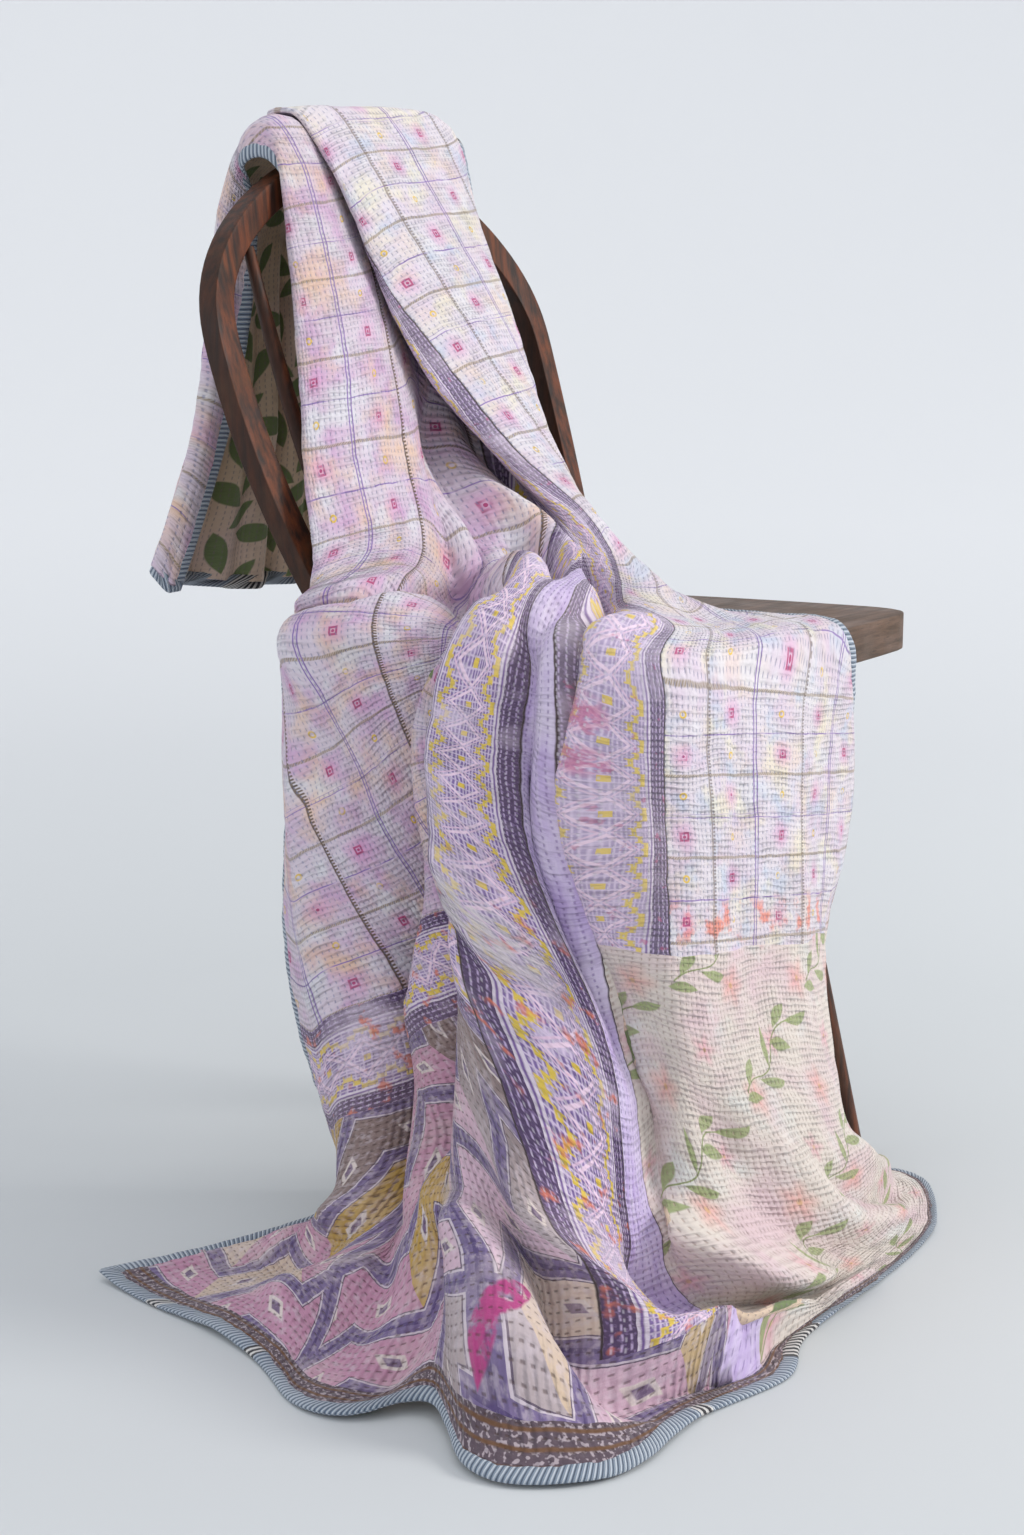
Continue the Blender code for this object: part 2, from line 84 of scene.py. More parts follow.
def add(kind, *inputs, out=0, **settings):
    """Adds a node to the tree in hand and gives one output. A kind in capitals is a Math operation."""
    if kind.isupper():
        kind, settings["operation"] = "Math", kind
    made = tree.nodes.new("ShaderNode" + kind)
    named = {}
    for setting, value in settings.items():
        if hasattr(made, setting):
            setattr(made, setting, value)
        else:
            named[made.inputs[setting.replace("_", " ")]] = value
    named.update(zip([socket for socket in made.inputs if socket.enabled], inputs))
    for socket, value in named.items():
        if isinstance(value, bpy.types.NodeSocket):
            tree.links.new(value, socket)
        elif value is not None:
            socket.default_value = value
    given = [socket for socket in made.outputs if socket.enabled]
    return given[out] if given else None


def new_material(name):
    """A material with an empty tree, which becomes the tree in hand."""
    global tree
    fresh = bpy.data.materials.new(name)
    fresh.use_nodes = True
    tree = fresh.node_tree
    tree.nodes.clear()
    return fresh


def over(under, mask, shade):
    """The colour under, painted with a shade where the mask is 1."""
    return add("Mix", mask, under, ink(shade) if isinstance(shade, str) else shade, data_type="RGBA")


def painted(under, *coats):
    """The colour under, with each coat, a mask and a shade, painted over it in turn."""
    for mask, shade in coats:
        under = over(under, mask, shade)
    return under


def stained_beech(name, grain, front, side, worn):
    """Beech under an old oil stain: fine dark pores along the grain, paler rubbed arrises, and painted
    shade on -X faces.
    """
    wood = new_material(name)
    place = add("TexCoord", out=3)
    along = add("Mapping", place, Scale=grain)
    pores = add("TexNoise", along, Scale=1.0, Detail=6.0, Roughness=0.65)
    figure = add("TexNoise", along, Scale=0.22, Detail=3.0, Roughness=0.5)
    cloudy = add("TexNoise", place, Scale=26.0, Detail=4.0, Roughness=0.6)
    tone = add("MapRange", figure, 0.35, 0.68)
    # Painted shade: faces turned towards -X, away from the key lamp, are darkened towards the side
    # colour.
    turned_away_shade = add("MapRange", add("SeparateXYZ", add("NewGeometry", out=1)), -0.2, -0.9)
    rubbed = add("MapRange", add("NewGeometry", out=7), 0.55, 0.66)
    patchy = add("MapRange", add("TexNoise", place, Scale=75.0, Detail=3.0), 0.42, 0.62)
    colour = painted(ink(side), (tone, front), (add("MULTIPLY", turned_away_shade, 0.75), side),
                     (add("MapRange", pores, 0.46, 0.30, 0.0, 0.75), "#1D130E"),
                     (add("MapRange", cloudy, 0.50, 0.78, 0.0, 0.16), "#8A6F58"),
                     (add("MULTIPLY", rubbed, patchy), worn))
    rough = add("MapRange", cloudy, 0.3, 0.7, 0.44, 0.66)
    relief = add("Bump", Strength=0.35, Distance=0.0006, Height=pores)
    add("OutputMaterial", add("BsdfPrincipled", Base_Color=colour, Roughness=rough, Normal=relief,
                              IOR=1.5, Specular_IOR_Level=0.32))
    return wood


# The grain runs up the hoop, spindles and legs (pores about 1 mm apart and 20 mm long), and across
# the seat from side to side.
# After the grain's scale come the wood's lighter tone, its darker tone (also painted as shade on faces
# turned to -X), and bare worn wood.
upright_wood = stained_beech("oil-stained beech, grain upright", (900, 900, 55),
                             "#6A3518", "#29160C", "#B58256")
seat_wood = stained_beech("oil-stained beech, grain across", (55, 700, 900),
                          "#6E5546", "#43301F", "#B08D69")
for name in sorted(frame["nodes"]):
    if not name.startswith(("chair_", "leg_")):
        continue
    bpy.ops.object.select_all(action="DESELECT")
    part = frame["nodes"][name].copy()
    part.data = part.data.copy()
    part.parent = None
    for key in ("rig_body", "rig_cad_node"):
        del part[key]
    part.name = part.data.name = name.replace("chair_", "worn_").replace("leg_", "worn_leg_")
    bpy.context.scene.collection.objects.link(part)
    bpy.context.view_layer.objects.active = part
    part.select_set(True)
    bpy.ops.object.mode_set(mode="EDIT")
    bpy.ops.mesh.select_all(action="SELECT")
    bpy.ops.mesh.remove_doubles(threshold=0.00002)
    bpy.ops.mesh.normals_make_consistent(inside=False)
    if name == "chair_hoop":
        bpy.ops.mesh.tris_convert_to_quads(face_threshold=QUAD_ANGLE, shape_threshold=QUAD_ANGLE)
    bpy.ops.object.mode_set(mode="OBJECT")
    eased = part.modifiers.new("rubbed arris", "BEVEL")
    eased.width, eased.segments, eased.limit_method = ARRIS, 3, "ANGLE"
    eased.angle_limit = SHARP
    bpy.ops.object.modifier_apply(modifier=eased.name)
    if name == "chair_hoop":
        bend = part.modifiers.new("even bend", "SUBSURF")
        bend.levels = bend.render_levels = 1
        bpy.ops.object.modifier_apply(modifier=bend.name)
    bpy.ops.object.shade_smooth_by_angle(angle=math.radians(35))
    part.data.materials.clear()
    part.data.materials.append(seat_wood if name == "chair_seat" else upright_wood)
    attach(part, "root")
    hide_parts(name)


# ------------------------------------------------------------------ quilt
# A kantha quilt of old cottons, hung over the hoop, bunched on the seat and spread on the floor.
# First come its drape and its flat cloth coordinates, then its mesh and its prints.
QUILT_THICK = 0.0030
SEWN_IN = 0.006              # the quilt's own edge lies this far inside the folded binding
SEAT_TOP = seat_high.z
HALF_SEAT, SEAT_GAP = (0.19, 0.15), 0.002       # the seat's level part, and the cloth's height over it
SHOULDER_OUT, SHOULDER_DOWN = 0.018, 0.010      # where the cloth rounds the hoop
COARSE, ROWS, COLUMNS = 46, 244, 196            # points each way, first coarse and then fine
STITCH_ROW, STITCH = 0.0046, 0.0046             # between rows, and along one
CHECK_WIDE, CHECK_TALL = 0.060, 0.031
DIAMOND_STEP = 0.026         # from one diamond of a printed border to the next
# Where the pieces of the patchwork side start and end on the flat cloth.
LEFT_BORDER, RIGHT_BORDER = (0.130, 0.205), (0.234, 0.312)      # across it
LAVENDER = (LEFT_BORDER[1], RIGHT_BORDER[0])
LEVEL_BORDER, HEM_STRIP = (0.0, 0.075), (0.270, 0.300)          # down it
LEFT_BORDER_ENDS = 0.233                                        # down it, where the patch print starts

# Main creases, as (width, depth, places) in mm on the flat cloth. A negative depth is a ridge.
CREASES = (
    (14, 24, ((112, -250), (118, -160), (112, -80), (95, 0), (60, 70), (10, 110), (-30, 150),
              (-50, 185))),
    (42, 34, ((94, -80), (64, 50), (18, 120), (-16, 180))),
    (26, -18, ((62, -235), (64, -110), (30, 0), (-12, 50), (-70, 96))),
    (26, -15, ((156, -240), (158, -100), (144, 0), (136, 80), (134, 150), (150, 220))),
    (13, 21, ((190, -290), (204, -240), (210, -190), (214, -100), (222, -30), (236, 60))),
    (20, -13, ((242, -250), (243, -110), (254, -10), (270, 80))),
    (14, 15, ((82, -540), (77, -480), (71, -430), (60, -390))),
    (14, 20, ((116, -580), (126, -510), (166, -440), (214, -384))),
    (16, -18, ((94, -474), (130, -415), (202, -345))), (12, 20, ((90, -426), (130, -381), (200, -316))),
    (14, -14, ((78, -378), (130, -343), (182, -290))), (11, 16, ((58, -370), (100, -328), (150, -278))),
    (11, 18, ((-120, -296), (-29, -302), (16, -330), (46, -384))), (20, -10, ((-90, -258), (0, -262))),
    (10, 12, ((256, -316), (228, -276), (206, -230))), (12, -9, ((290, -310), (250, -262))),
    (11, 10, ((124, 4), (142, 30), (178, 10), (196, -28))),
    (20, -9, ((134, -44), (160, -34), (182, -54))),
    (22, 6, ((-100, -250), (-84, -200), (-50, -139), (0, -100))), (24, -6, ((-130, -160), (-60, -60))),
    (22, 6, ((-120, -40), (-60, 20), (0, 40))), (26, -4, ((20, -270), (-40, -180))),
    (13, 18, ((190, 136), (214, 184), (262, 208), (330, 222))),
    (21, -36, ((118, 120), (124, 176), (158, 222), (214, 240), (300, 246))),
    (13, 22, ((96, 176), (108, 234), (150, 264), (214, 270), (280, 276))),
    (20, -26, ((236, 120), (284, 172), (360, 202))), (16, -16, ((300, 258), (360, 262))),
    (32, -36, ((52, 176), (76, 270))), (15, 16, ((16, 186), (-8, 240), (-21, 286))),
    (26, -20, ((-76, 176), (-124, 256))), (15, 8, ((-120, 140), (-160, 210), (-196, 262))),
    (22, -14, ((-150, 130), (-190, 220))), (40, 12, ((575, -110), (580, 20), (585, 110))),
    (18, 9, ((316, 40), (350, 140), (420, 226))), (18, -9, ((372, 70), (424, 160), (480, 232))),
    (15, 9, ((410, 100), (478, 176), (530, 246))), (18, -12, ((480, 90), (560, 226))),
    (12, 8, ((540, 140), (600, 230))),
    (28, 4, ((380, -230), (396, -60), (400, 60))), (28, -4, ((460, -250), (480, -80), (470, 40))),
)

# The drape's cross-sections from the tail's hem to the hem on the floor. Each runs from the left side
# edge to the right, as points in cm from the floor under the middle of the seat.
SECTIONS = (
    ("tail hem", (
        (-18.6, 26.4, 46.8), (-19.6, 27.2, 46.6), (-20.4, 28, 48.6), (-16, 29.8, 47), (-12, 29.5, 46.4),
        (-9, 28.5, 46), (-5.5, 29, 46), (-2, 28.3, 46), (1, 29, 46), (4, 28.2, 46), (6.5, 28.8, 46),
        (8.5, 28, 46), (10.5, 28.8, 46), (13, 28, 46.2), (15.5, 28.8, 46.4), (17.6, 27.8, 46.8),
        (16, 26.4, 47.2), (13, 26, 47.5))),
    ("tail middle", (
        (-12.2, 25.9, 60), (-13.4, 26.6, 60), (-14.4, 27.4, 60), (-11, 29.4, 60), (-8, 29.2, 60),
        (-6, 28.4, 60), (-3.5, 28.8, 60), (-1, 28.2, 60), (1, 28.7, 60), (3, 28.1, 60), (5, 28.6, 60),
        (6.5, 28, 60), (8, 28.6, 60), (10, 28, 60), (12, 28.4, 60), (14, 27.4, 60), (12.5, 26.3, 60),
        (10, 26, 60))),
    ("tail top", (
        (-10.1, 25.1, 75), (-12.2, 25.8, 75), (-12.9, 27, 75), (-10, 28.2, 75), (-7.5, 28, 75),
        (-5.5, 27.6, 75), (-3.5, 27.8, 75), (-1.5, 27.5, 75), (0.5, 27.8, 75), (2.5, 27.6, 75),
        (4, 27.8, 75), (5.5, 27.6, 75), (7, 27.9, 75), (9, 27.8, 75), (11, 27.8, 75), (12.9, 27, 75),
        (13.1, 25.9, 75), (12, 24.7, 75))),
    ("over the hoop", (
        (-12, 23.5, 78.9), (-12, 23.5, 81), (-10.4, 23.5, 82), (-8.3, 23.5, 81.8), (-6.3, 23.5, 81.6),
        (-4, 23.5, 81.6), (-1.5, 23.5, 81.6), (1.5, 23.5, 81.6), (4.5, 23.5, 81.6), (6.2, 23.5, 81.9),
        (4.8, 23.5, 82.2), (0, 23.5, 82.2), (-6, 23.5, 82.2), (-8.8, 23.5, 82.6), (-3.8, 23.5, 83),
        (3, 23.5, 83.6), (9.4, 23.5, 83.7), (12.4, 23.5, 81.8))),
    ("upper back", (
        (-10.4, 21.6, 75), (-12.3, 20.7, 75), (-9.6, 19.8, 75.3), (-6.2, 20.1, 75), (-3, 20.6, 75),
        (-1, 20.9, 75), (1.2, 21, 75), (3.6, 20.8, 75), (6, 20.4, 75), (7, 19.8, 75), (5.5, 19.4, 75),
        (1.2, 19.4, 75), (-4.2, 19.3, 75), (-6.6, 18.9, 75.6), (-1.4, 17.9, 75), (4.6, 17.7, 75),
        (9.7, 18.6, 75), (11.4, 20.4, 75))),
    ("middle back", (
        (-12.5, 18.2, 65), (-15.6, 17, 65), (-11, 15.6, 65), (-5.6, 15.9, 64.7), (-3, 17, 65),
        (-0.5, 17.9, 65), (2.2, 18, 65), (4.8, 17.8, 65), (7, 17.2, 65), (7.4, 16.5, 65), (5, 16.1, 65),
        (1, 15.9, 65), (-3.2, 15.6, 65), (-5, 14.9, 65.1), (0.2, 13.8, 65), (6.5, 13.6, 65),
        (11, 15, 65), (12, 17, 65))),
    ("lower back", (
        (-15, 15.4, 57), (-18.2, 14.6, 56.8), (-13.5, 13, 57), (-8, 12.8, 57), (-5.6, 13.2, 56.6),
        (-4.2, 14.6, 56.8), (-2.2, 15, 57), (0.2, 14.7, 57), (2, 13.4, 57), (3.3, 12.6, 57),
        (3.6, 12, 57), (2.8, 11.6, 57), (1, 11, 57), (-1, 9.4, 56.7), (2.2, 7.9, 56.7), (6, 8.4, 56.4),
        (8.2, 10.4, 56.3), (7.2, 12.4, 56.4))),
    ("pinch", (
        (-18, 12.3, 50.5), (-20.6, 11.8, 51), (-15.5, 10.2, 51.2), (-10, 9.9, 51), (-8, 9.6, 50.4),
        (-7.8, 8.4, 49.8), (-6.8, 6.8, 50.6), (-4.7, 5.9, 50), (-2.8, 5, 49.3), (-1.2, 4.6, 49.6),
        (0.4, 4.4, 49.3), (1.5, 4.8, 49.2), (2.6, 4.2, 49.7), (4.2, 3.8, 50.3), (7, 4.2, 50.6),
        (9.2, 5.2, 49.9), (10.3, 6.8, 49.4), (10.9, 8.5, 47.7))),
    ("on the seat", (
        (-19.8, 11.4, 46.8), (-22.4, 10.6, 48.2), (-17.5, 8.4, 48.9), (-12.5, 7.3, 48), (-9.8, 6.4, 44),
        (-9.4, 5.5, 44.8), (-9.1, 4.6, 46.2), (-8.9, 3.8, 47.4), (-8.8, 2.6, 48.7), (-6.8, -1, 48.5),
        (-5.4, -2.2, 47.2), (-4.2, -2.6, 44), (-3.6, -3.7, 46.4), (-2.4, -5.6, 46.4), (0.6, -6.2, 45.4),
        (3.4, -6, 45.2), (5.8, -5.2, 45.1), (7.6, -3.4, 44.9))),
    ("seat rim", (
        (-20.4, 13.2, 45.9), (-23.2, 11, 47.4), (-21.4, 7.2, 48.6), (-18.6, 4.2, 48), (-16.6, 1.6, 45.2),
        (-16.6, 1, 45.6), (-16.8, 0.4, 46.4), (-17.2, -0.4, 47.4), (-17.6, -1.4, 48.4),
        (-17, -6.2, 48.4), (-15.6, -8, 47.4), (-14.6, -8.8, 45.6), (-15.4, -10.2, 46.8),
        (-14.6, -14.4, 46.2), (-7.6, -14.6, 45.3), (-1.6, -14.4, 45.2), (2.6, -14.2, 45.4),
        (5.2, -13.6, 45.2))),
    ("over the edge", (
        (-20.8, 14.4, 44.4), (-23.5, 11.2, 46), (-23.8, 6.6, 46.6), (-23, 2, 46.2), (-21.4, -0.6, 44.8),
        (-21.7, -1.2, 45.1), (-22, -1.8, 45.5), (-22.6, -2.5, 46), (-23.2, -3.5, 46.6),
        (-23.2, -9, 46.4), (-22.6, -10.8, 45.8), (-21.9, -11.7, 45.2), (-23, -13.5, 45.6),
        (-21.8, -17.8, 45.3), (-13.2, -18.2, 44.9), (-5, -18.3, 44.9), (0.2, -18.3, 45),
        (2.8, -18.3, 45))),
    ("below the edge", (
        (-19.5, 15.6, 40.4), (-24, 11.8, 41.2), (-25, 7.2, 41.4), (-24.3, 2.2, 41), (-21.7, 0.6, 40.8),
        (-22.3, 0, 41), (-22.9, -0.6, 41.2), (-23.8, -1.3, 41.4), (-24.9, -2.4, 41.6),
        (-25.2, -9.2, 41.4), (-24.2, -11, 41.2), (-22.2, -11.7, 41), (-24.6, -13.4, 41.2),
        (-23, -18.7, 41.7), (-13.5, -19, 41.6), (-4.8, -19, 41.6), (1.6, -18.9, 41.6),
        (4.3, -18.8, 41.6))),
    ("hang high", (
        (-18, 16.6, 34), (-24, 11.9, 33), (-26, 8, 33), (-25.2, 3, 33), (-22, -0.2, 33), (-23, -0.9, 33),
        (-23.8, -1.6, 33), (-24.8, -2.3, 33), (-26, -3.4, 33), (-26.5, -9.3, 33), (-25, -11, 33),
        (-22.8, -11.6, 33), (-25.5, -13.2, 33), (-24, -19, 33), (-14, -20.5, 33), (-4.5, -20, 33),
        (3.5, -19.2, 33), (6, -16.5, 34))),
    ("hang low", (
        (-24.5, 11.8, 20), (-26, 9, 20), (-27, 6, 20), (-26, 2.5, 20), (-22.8, 0, 20), (-24.8, -1, 20),
        (-27, -2.5, 20), (-28, -4.5, 20), (-28.5, -7, 20), (-28.5, -14.5, 21), (-26.5, -17.5, 21),
        (-23.2, -17.3, 20), (-24.2, -19.5, 20), (-22.5, -21.5, 20), (-14, -22.5, 20), (-6, -21.5, 20),
        (0.8, -19.5, 20), (4, -15, 21))),
    ("skirt", (
        (-20.4, 11.2, 8.6), (-23.4, 8.4, 8.4), (-26.2, 5.4, 8.6), (-27.6, 1.9, 8.8), (-25.2, -0.6, 8),
        (-29.5, -2, 9), (-32, -5.5, 9), (-32.5, -8.5, 9), (-31.5, -11, 9.5), (-30, -16.5, 10),
        (-27.5, -18.5, 10), (-24.2, -18.8, 9), (-23.2, -21, 9), (-19.5, -23, 9), (-12, -24, 9),
        (-5, -23, 9), (0.5, -20, 9), (5, -15, 10))),
    ("floor middle", (
        (-18.6, 10.2, 1.6), (-24, 8.5, 1.2), (-29, 5, 1.8), (-32, 1, 1.8), (-33, -3, 1.5), (-35, -6, 3),
        (-36, -10, 4.5), (-38, -15, 5), (-37, -20, 4), (-33, -22, 2.5), (-29, -22, 3), (-26, -22.5, 1.2),
        (-23, -23.5, 2), (-18, -24.5, 2), (-10, -25, 2), (-1, -24.5, 2.5), (7, -20.7, 2.1),
        (7.4, -15.6, 3))),
    ("floor hem", (
        (-37.2, 18.9, 0.6), (-38.6, 12.5, 0.2), (-39.5, 6.5, 0.4), (-41.5, 0.5, 0.1), (-44.8, -5, 0.2),
        (-44.5, -9.4, 0.6), (-41, -13, 1), (-46.3, -20, 0.1), (-41.5, -26.6, 0.1), (-32.5, -26.8, 0.4),
        (-26.5, -28.5, 0.1), (-23, -28.7, 0.1), (-18.5, -27, 0.3), (-11, -27, 0.1), (-1, -27, 0.2),
        (7, -25.5, 0.1), (13.5, -20.9, 0.4), (11.4, -16.2, 0.8))),
)

# Where the same points lie on the flat cloth, in mm across it and down it.
FLAT_PLACES = (
    # tail hem
    ((-88, -1134), (-74, -1140), (-58, -1145), (-12, -1150), (28, -1157), (62, -1165), (96, -1172),
    (130, -1180), (164, -1188), (198, -1196), (223, -1204), (248, -1214), (274, -1226), (310, -1240),
    (345, -1250), (382, -1245), (404, -1235), (430, -1215)),
    # tail middle
    ((-94, -992), (-78, -997), (-60, -1003), (-12, -1008), (28, -1015), (62, -1023), (96, -1031),
    (130, -1040), (164, -1048), (198, -1056), (223, -1064), (248, -1076), (274, -1090), (310, -1108),
    (345, -1115), (382, -1112), (404, -1100), (430, -1075)),
    # tail top
    ((-118, -830), (-85, -840), (-61, -852), (-13, -857), (28, -864), (62, -872), (96, -880),
    (130, -889), (164, -898), (198, -908), (223, -918), (248, -933), (274, -952), (310, -975),
    (345, -980), (382, -970), (404, -950), (430, -920)),
    # over the hoop
    ((-88, -737), (-68, -754), (-49, -760), (-28, -755), (-8, -752), (15, -763), (42, -773), (76, -784),
    (110, -795), (130, -810), (148, -826), (200, -840), (268, -854), (322, -867), (357, -854),
    (422, -850), (485, -840), (520, -811)),
    # upper back
    ((-102, -682), (-80, -680), (-51, -677), (-17, -668), (15, -662), (35, -675), (57, -687), (84, -700),
    (115, -712), (130, -725), (150, -737), (200, -750), (275, -762), (325, -775), (357, -748),
    (417, -740), (469, -734), (494, -728)),
    # middle back
    ((-130, -575), (-96, -573), (-47, -566), (7, -557), (36, -552), (58, -562), (81, -573), (105, -584),
    (130, -595), (141, -606), (166, -618), (206, -632), (250, -645), (296, -657), (329, -638),
    (392, -627), (439, -622), (462, -620)),
    # lower back
    ((-132, -492), (-98, -490), (-48, -486), (7, -483), (32, -478), (52, -480), (73, -485), (97, -492),
    (119, -500), (134, -508), (150, -516), (175, -525), (235, -537), (296, -549), (322, -540),
    (360, -535), (390, -530), (413, -528)),
    # pinch
    ((-132, -436), (-103, -435), (-49, -426), (6, -422), (27, -430), (41, -425), (62, -420), (86, -418),
    (108, -418), (128, -420), (165, -425), (200, -432), (250, -445), (296, -465), (322, -460),
    (345, -455), (363, -450), (385, -450)),
    # on the seat
    ((-120, -380), (-85, -375), (-30, -351), (30, -385), (75, -375), (88, -365), (100, -355),
    (112, -345), (126, -335), (200, -340), (259, -345), (265, -350), (308, -370), (350, -390),
    (380, -380), (405, -375), (430, -370), (456, -368)),
    # seat rim
    ((-115, -325), (-75, -320), (-27, -310), (31, -320), (72, -295), (90, -295), (105, -293),
    (122, -290), (144, -288), (218, -290), (246, -295), (250, -295), (272, -300), (310, -312),
    (385, -310), (445, -312), (490, -316), (516, -318)),
    # over the edge
    ((-113, -275), (-68, -275), (-24, -277), (31, -267), (68, -238), (85, -240), (100, -243),
    (135, -246), (155, -250), (220, -255), (240, -258), (253, -260), (274, -262), (312, -260),
    (389, -264), (447, -272), (509, -278), (535, -288)),
    # below the edge
    ((-148, -236), (-88, -232), (-53, -222), (0, -186), (46, -166), (75, -175), (100, -185), (134, -195),
    (152, -205), (208, -210), (234, -212), (250, -214), (272, -216), (306, -229), (398, -239),
    (470, -252), (540, -262), (567, -270)),
    # hang high
    ((-217, -165), (-140, -161), (-120, -146), (-60, -120), (0, -97), (50, -80), (90, -60), (124, -50),
    (146, -60), (200, -100), (229, -130), (249, -130), (274, -130), (306, -125), (413, -141),
    (508, -157), (588, -168), (625, -180)),
    # hang low
    ((-217, -30), (-186, -28), (-168, -9), (-137, 6), (-90, 18), (-30, 60), (30, 90), (75, 95),
    (113, 90), (175, 40), (218, 12), (258, 22), (300, 28), (335, 15), (440, 3), (525, -15), (583, -28),
    (640, -35)),
    # skirt
    ((-217, 78), (-191, 84), (-170, 104), (-145, 118), (-110, 141), (-60, 165), (-10, 185), (40, 190),
    (81, 175), (156, 130), (210, 116), (252, 130), (285, 135), (328, 128), (404, 114), (475, 98),
    (538, 85), (606, 78)),
    # floor middle
    ((-217, 150), (-172, 168), (-134, 188), (-97, 205), (-60, 208), (-28, 228), (8, 242), (55, 240),
    (105, 240), (150, 228), (185, 210), (205, 215), (236, 215), (295, 205), (375, 192), (460, 190),
    (540, 205), (590, 200)),
    # floor hem
    ((-217, 290), (-170, 290), (-130, 290), (-90, 290), (-50, 290), (-22, 290), (12, 290), (60, 290),
    (105, 290), (165, 290), (230, 290), (250, 290), (275, 290), (320, 290), (400, 290), (470, 290),
    (540, 290), (590, 290)),
)


def smooth_curve(rows, positions):
    """A Catmull-Rom curve through evenly numbered rows, read at fractional row numbers."""
    last = len(rows) - 1
    slopes = np.empty_like(rows)
    slopes[1:-1] = (rows[2:] - rows[:-2]) / 2
    slopes[0] = rows[1] - rows[0]
    slopes[last] = rows[last] - rows[last - 1]
    start = np.clip(np.floor(positions).astype(int), 0, last - 1)
    part = (positions - start).reshape((-1,) + (1,) * (rows.ndim - 1))
    square, cube = part**2, part**3
    return ((2 * cube - 3 * square + 1) * rows[start] + (cube - 2 * square + part) * slopes[start]
            + (3 * square - 2 * cube) * rows[start + 1] + (cube - square) * slopes[start + 1])


def surface_through(guides, along, across):
    """The surface through a grid of guide points, read at fractional rows and fractional folds."""
    rows = smooth_curve(guides, along)
    return np.swapaxes(smooth_curve(np.swapaxes(rows, 0, 1), across), 0, 1)


def even_places(grid, count):
    """Fractional row numbers that lie an equal mean distance apart along the cloth."""
    steps = np.linalg.norm(np.diff(grid, axis=0), axis=2).mean(axis=1)
    travelled = np.concatenate(((0,), np.cumsum(steps)))
    return np.interp(np.linspace(0, travelled[-1], count), travelled, np.arange(len(grid)))


LATTICE, FIRST_CELL = 400, 190                  # a random lattice's size, and where the cloth starts


def humps(seed, wide, tall, lean=0.0):
    """A smooth random field over the flat cloth, from -1 to 1, its humps so wide and tall."""
    lattice = np.random.default_rng(seed).uniform(-1, 1, (LATTICE, LATTICE))
    x = (flat[..., 0] + lean * flat[..., 1]) / wide + FIRST_CELL
    y = flat[..., 1] / tall + FIRST_CELL
    column, row = np.floor(x).astype(int) % (LATTICE - 1), np.floor(y).astype(int) % (LATTICE - 1)
    x, y = x - np.floor(x), y - np.floor(y)
    x, y = x * x * (3 - 2 * x), y * y * (3 - 2 * y)
    near = lattice[row, column] * (1 - x) + lattice[row, column + 1] * x
    far = lattice[row + 1, column] * (1 - x) + lattice[row + 1, column + 1] * x
    return near * (1 - y) + far * y


def rise(low, high, value):
    """0 below low, 1 above high, and smooth between."""
    share = np.clip((value - low) / (high - low), 0, 1)
    return share * share * (3 - 2 * share)


# The drape is first laid out coarsely, each point drawn a little towards its neighbours' middle so
# that no fold is sharper than padded cloth can be, and then read again at the fine spacing.
EASE_DOWN, EASE_ACROSS = 0.2, 0.1
guides, flat_guides = [], []
for (name, places), pairs in zip(SECTIONS, FLAT_PLACES):
    section, pairs = np.array(places) * 0.01, np.array(pairs) * 0.001
    if name == "over the hoop":
        shoulder = np.array((0, SHOULDER_OUT, -SHOULDER_DOWN))
        guides += [section + shoulder, section, section + shoulder * (1, -1, 1)]
        flat_guides += [pairs - (0, SHOULDER_OUT), pairs, pairs + (0, SHOULDER_OUT)]
    else:
        guides.append(section)
        flat_guides.append(pairs)
along = np.linspace(0, len(guides) - 1, COARSE)
across = np.linspace(0, len(SECTIONS[0][1]) - 1, COARSE)
drape = surface_through(np.array(guides), along, across)
flat = surface_through(np.array(flat_guides), along, across)
eased = drape.copy()
eased[1:-1] += (drape[2:] + drape[:-2] - 2 * drape[1:-1]) * EASE_DOWN
eased[:, 1:-1] += (drape[:, 2:] + drape[:, :-2] - 2 * drape[:, 1:-1]) * EASE_ACROSS
along = even_places(eased, ROWS)
across = even_places(np.swapaxes(eased, 0, 1), COLUMNS)
drape = surface_through(eased, along, across)
flat = surface_through(flat, along, across)


def normals_of(surface):
    """Unit normals on the patchwork side."""
    normals = np.cross(np.gradient(surface, axis=0), np.gradient(surface, axis=1))
    return normals / np.maximum(np.linalg.norm(normals, axis=2, keepdims=True), 1e-12)


def blurred(grid, times):
    """The grid with each inner point moved to the middle of its neighbours, several times over."""
    grid = grid.copy()
    for _ in range(times):
        grid[1:-1] += (grid[2:] + grid[:-2] - 2 * grid[1:-1]) * 0.25
        grid[:, 1:-1] += (grid[:, 2:] + grid[:, :-2] - 2 * grid[:, 1:-1]) * 0.25
    return grid


def midway(span):
    """The place halfway along a span."""
    return (span[0] + span[1]) / 2


# The borders' middles lie nearer the right than even spacing would put them.
flat[..., 0] = np.interp(flat[..., 0],
                         (-1, LEFT_BORDER[0], 0.1775, *LAVENDER, 0.284, RIGHT_BORDER[1], 1),
                         (-1, LEFT_BORDER[0], midway(LEFT_BORDER), *LAVENDER,
                          midway(RIGHT_BORDER), RIGHT_BORDER[1], 1))
u, v = flat[..., 0], flat[..., 1]
lift = np.zeros_like(u)
# Soft wrinkles, long down the cloth and short across it, shallow where it hangs from the hoop.
slack = 0.35 + 0.65 * rise(-0.60, -0.42, v)
lift += 0.0014 * slack * humps(1, 0.021, 0.090, 0.25) + 0.0011 * slack * humps(2, 0.034, 0.050, -0.3)
lift += 0.0007 * humps(3, 0.011, 0.026) + 0.0005 * humps(4, 0.013, 0.009)
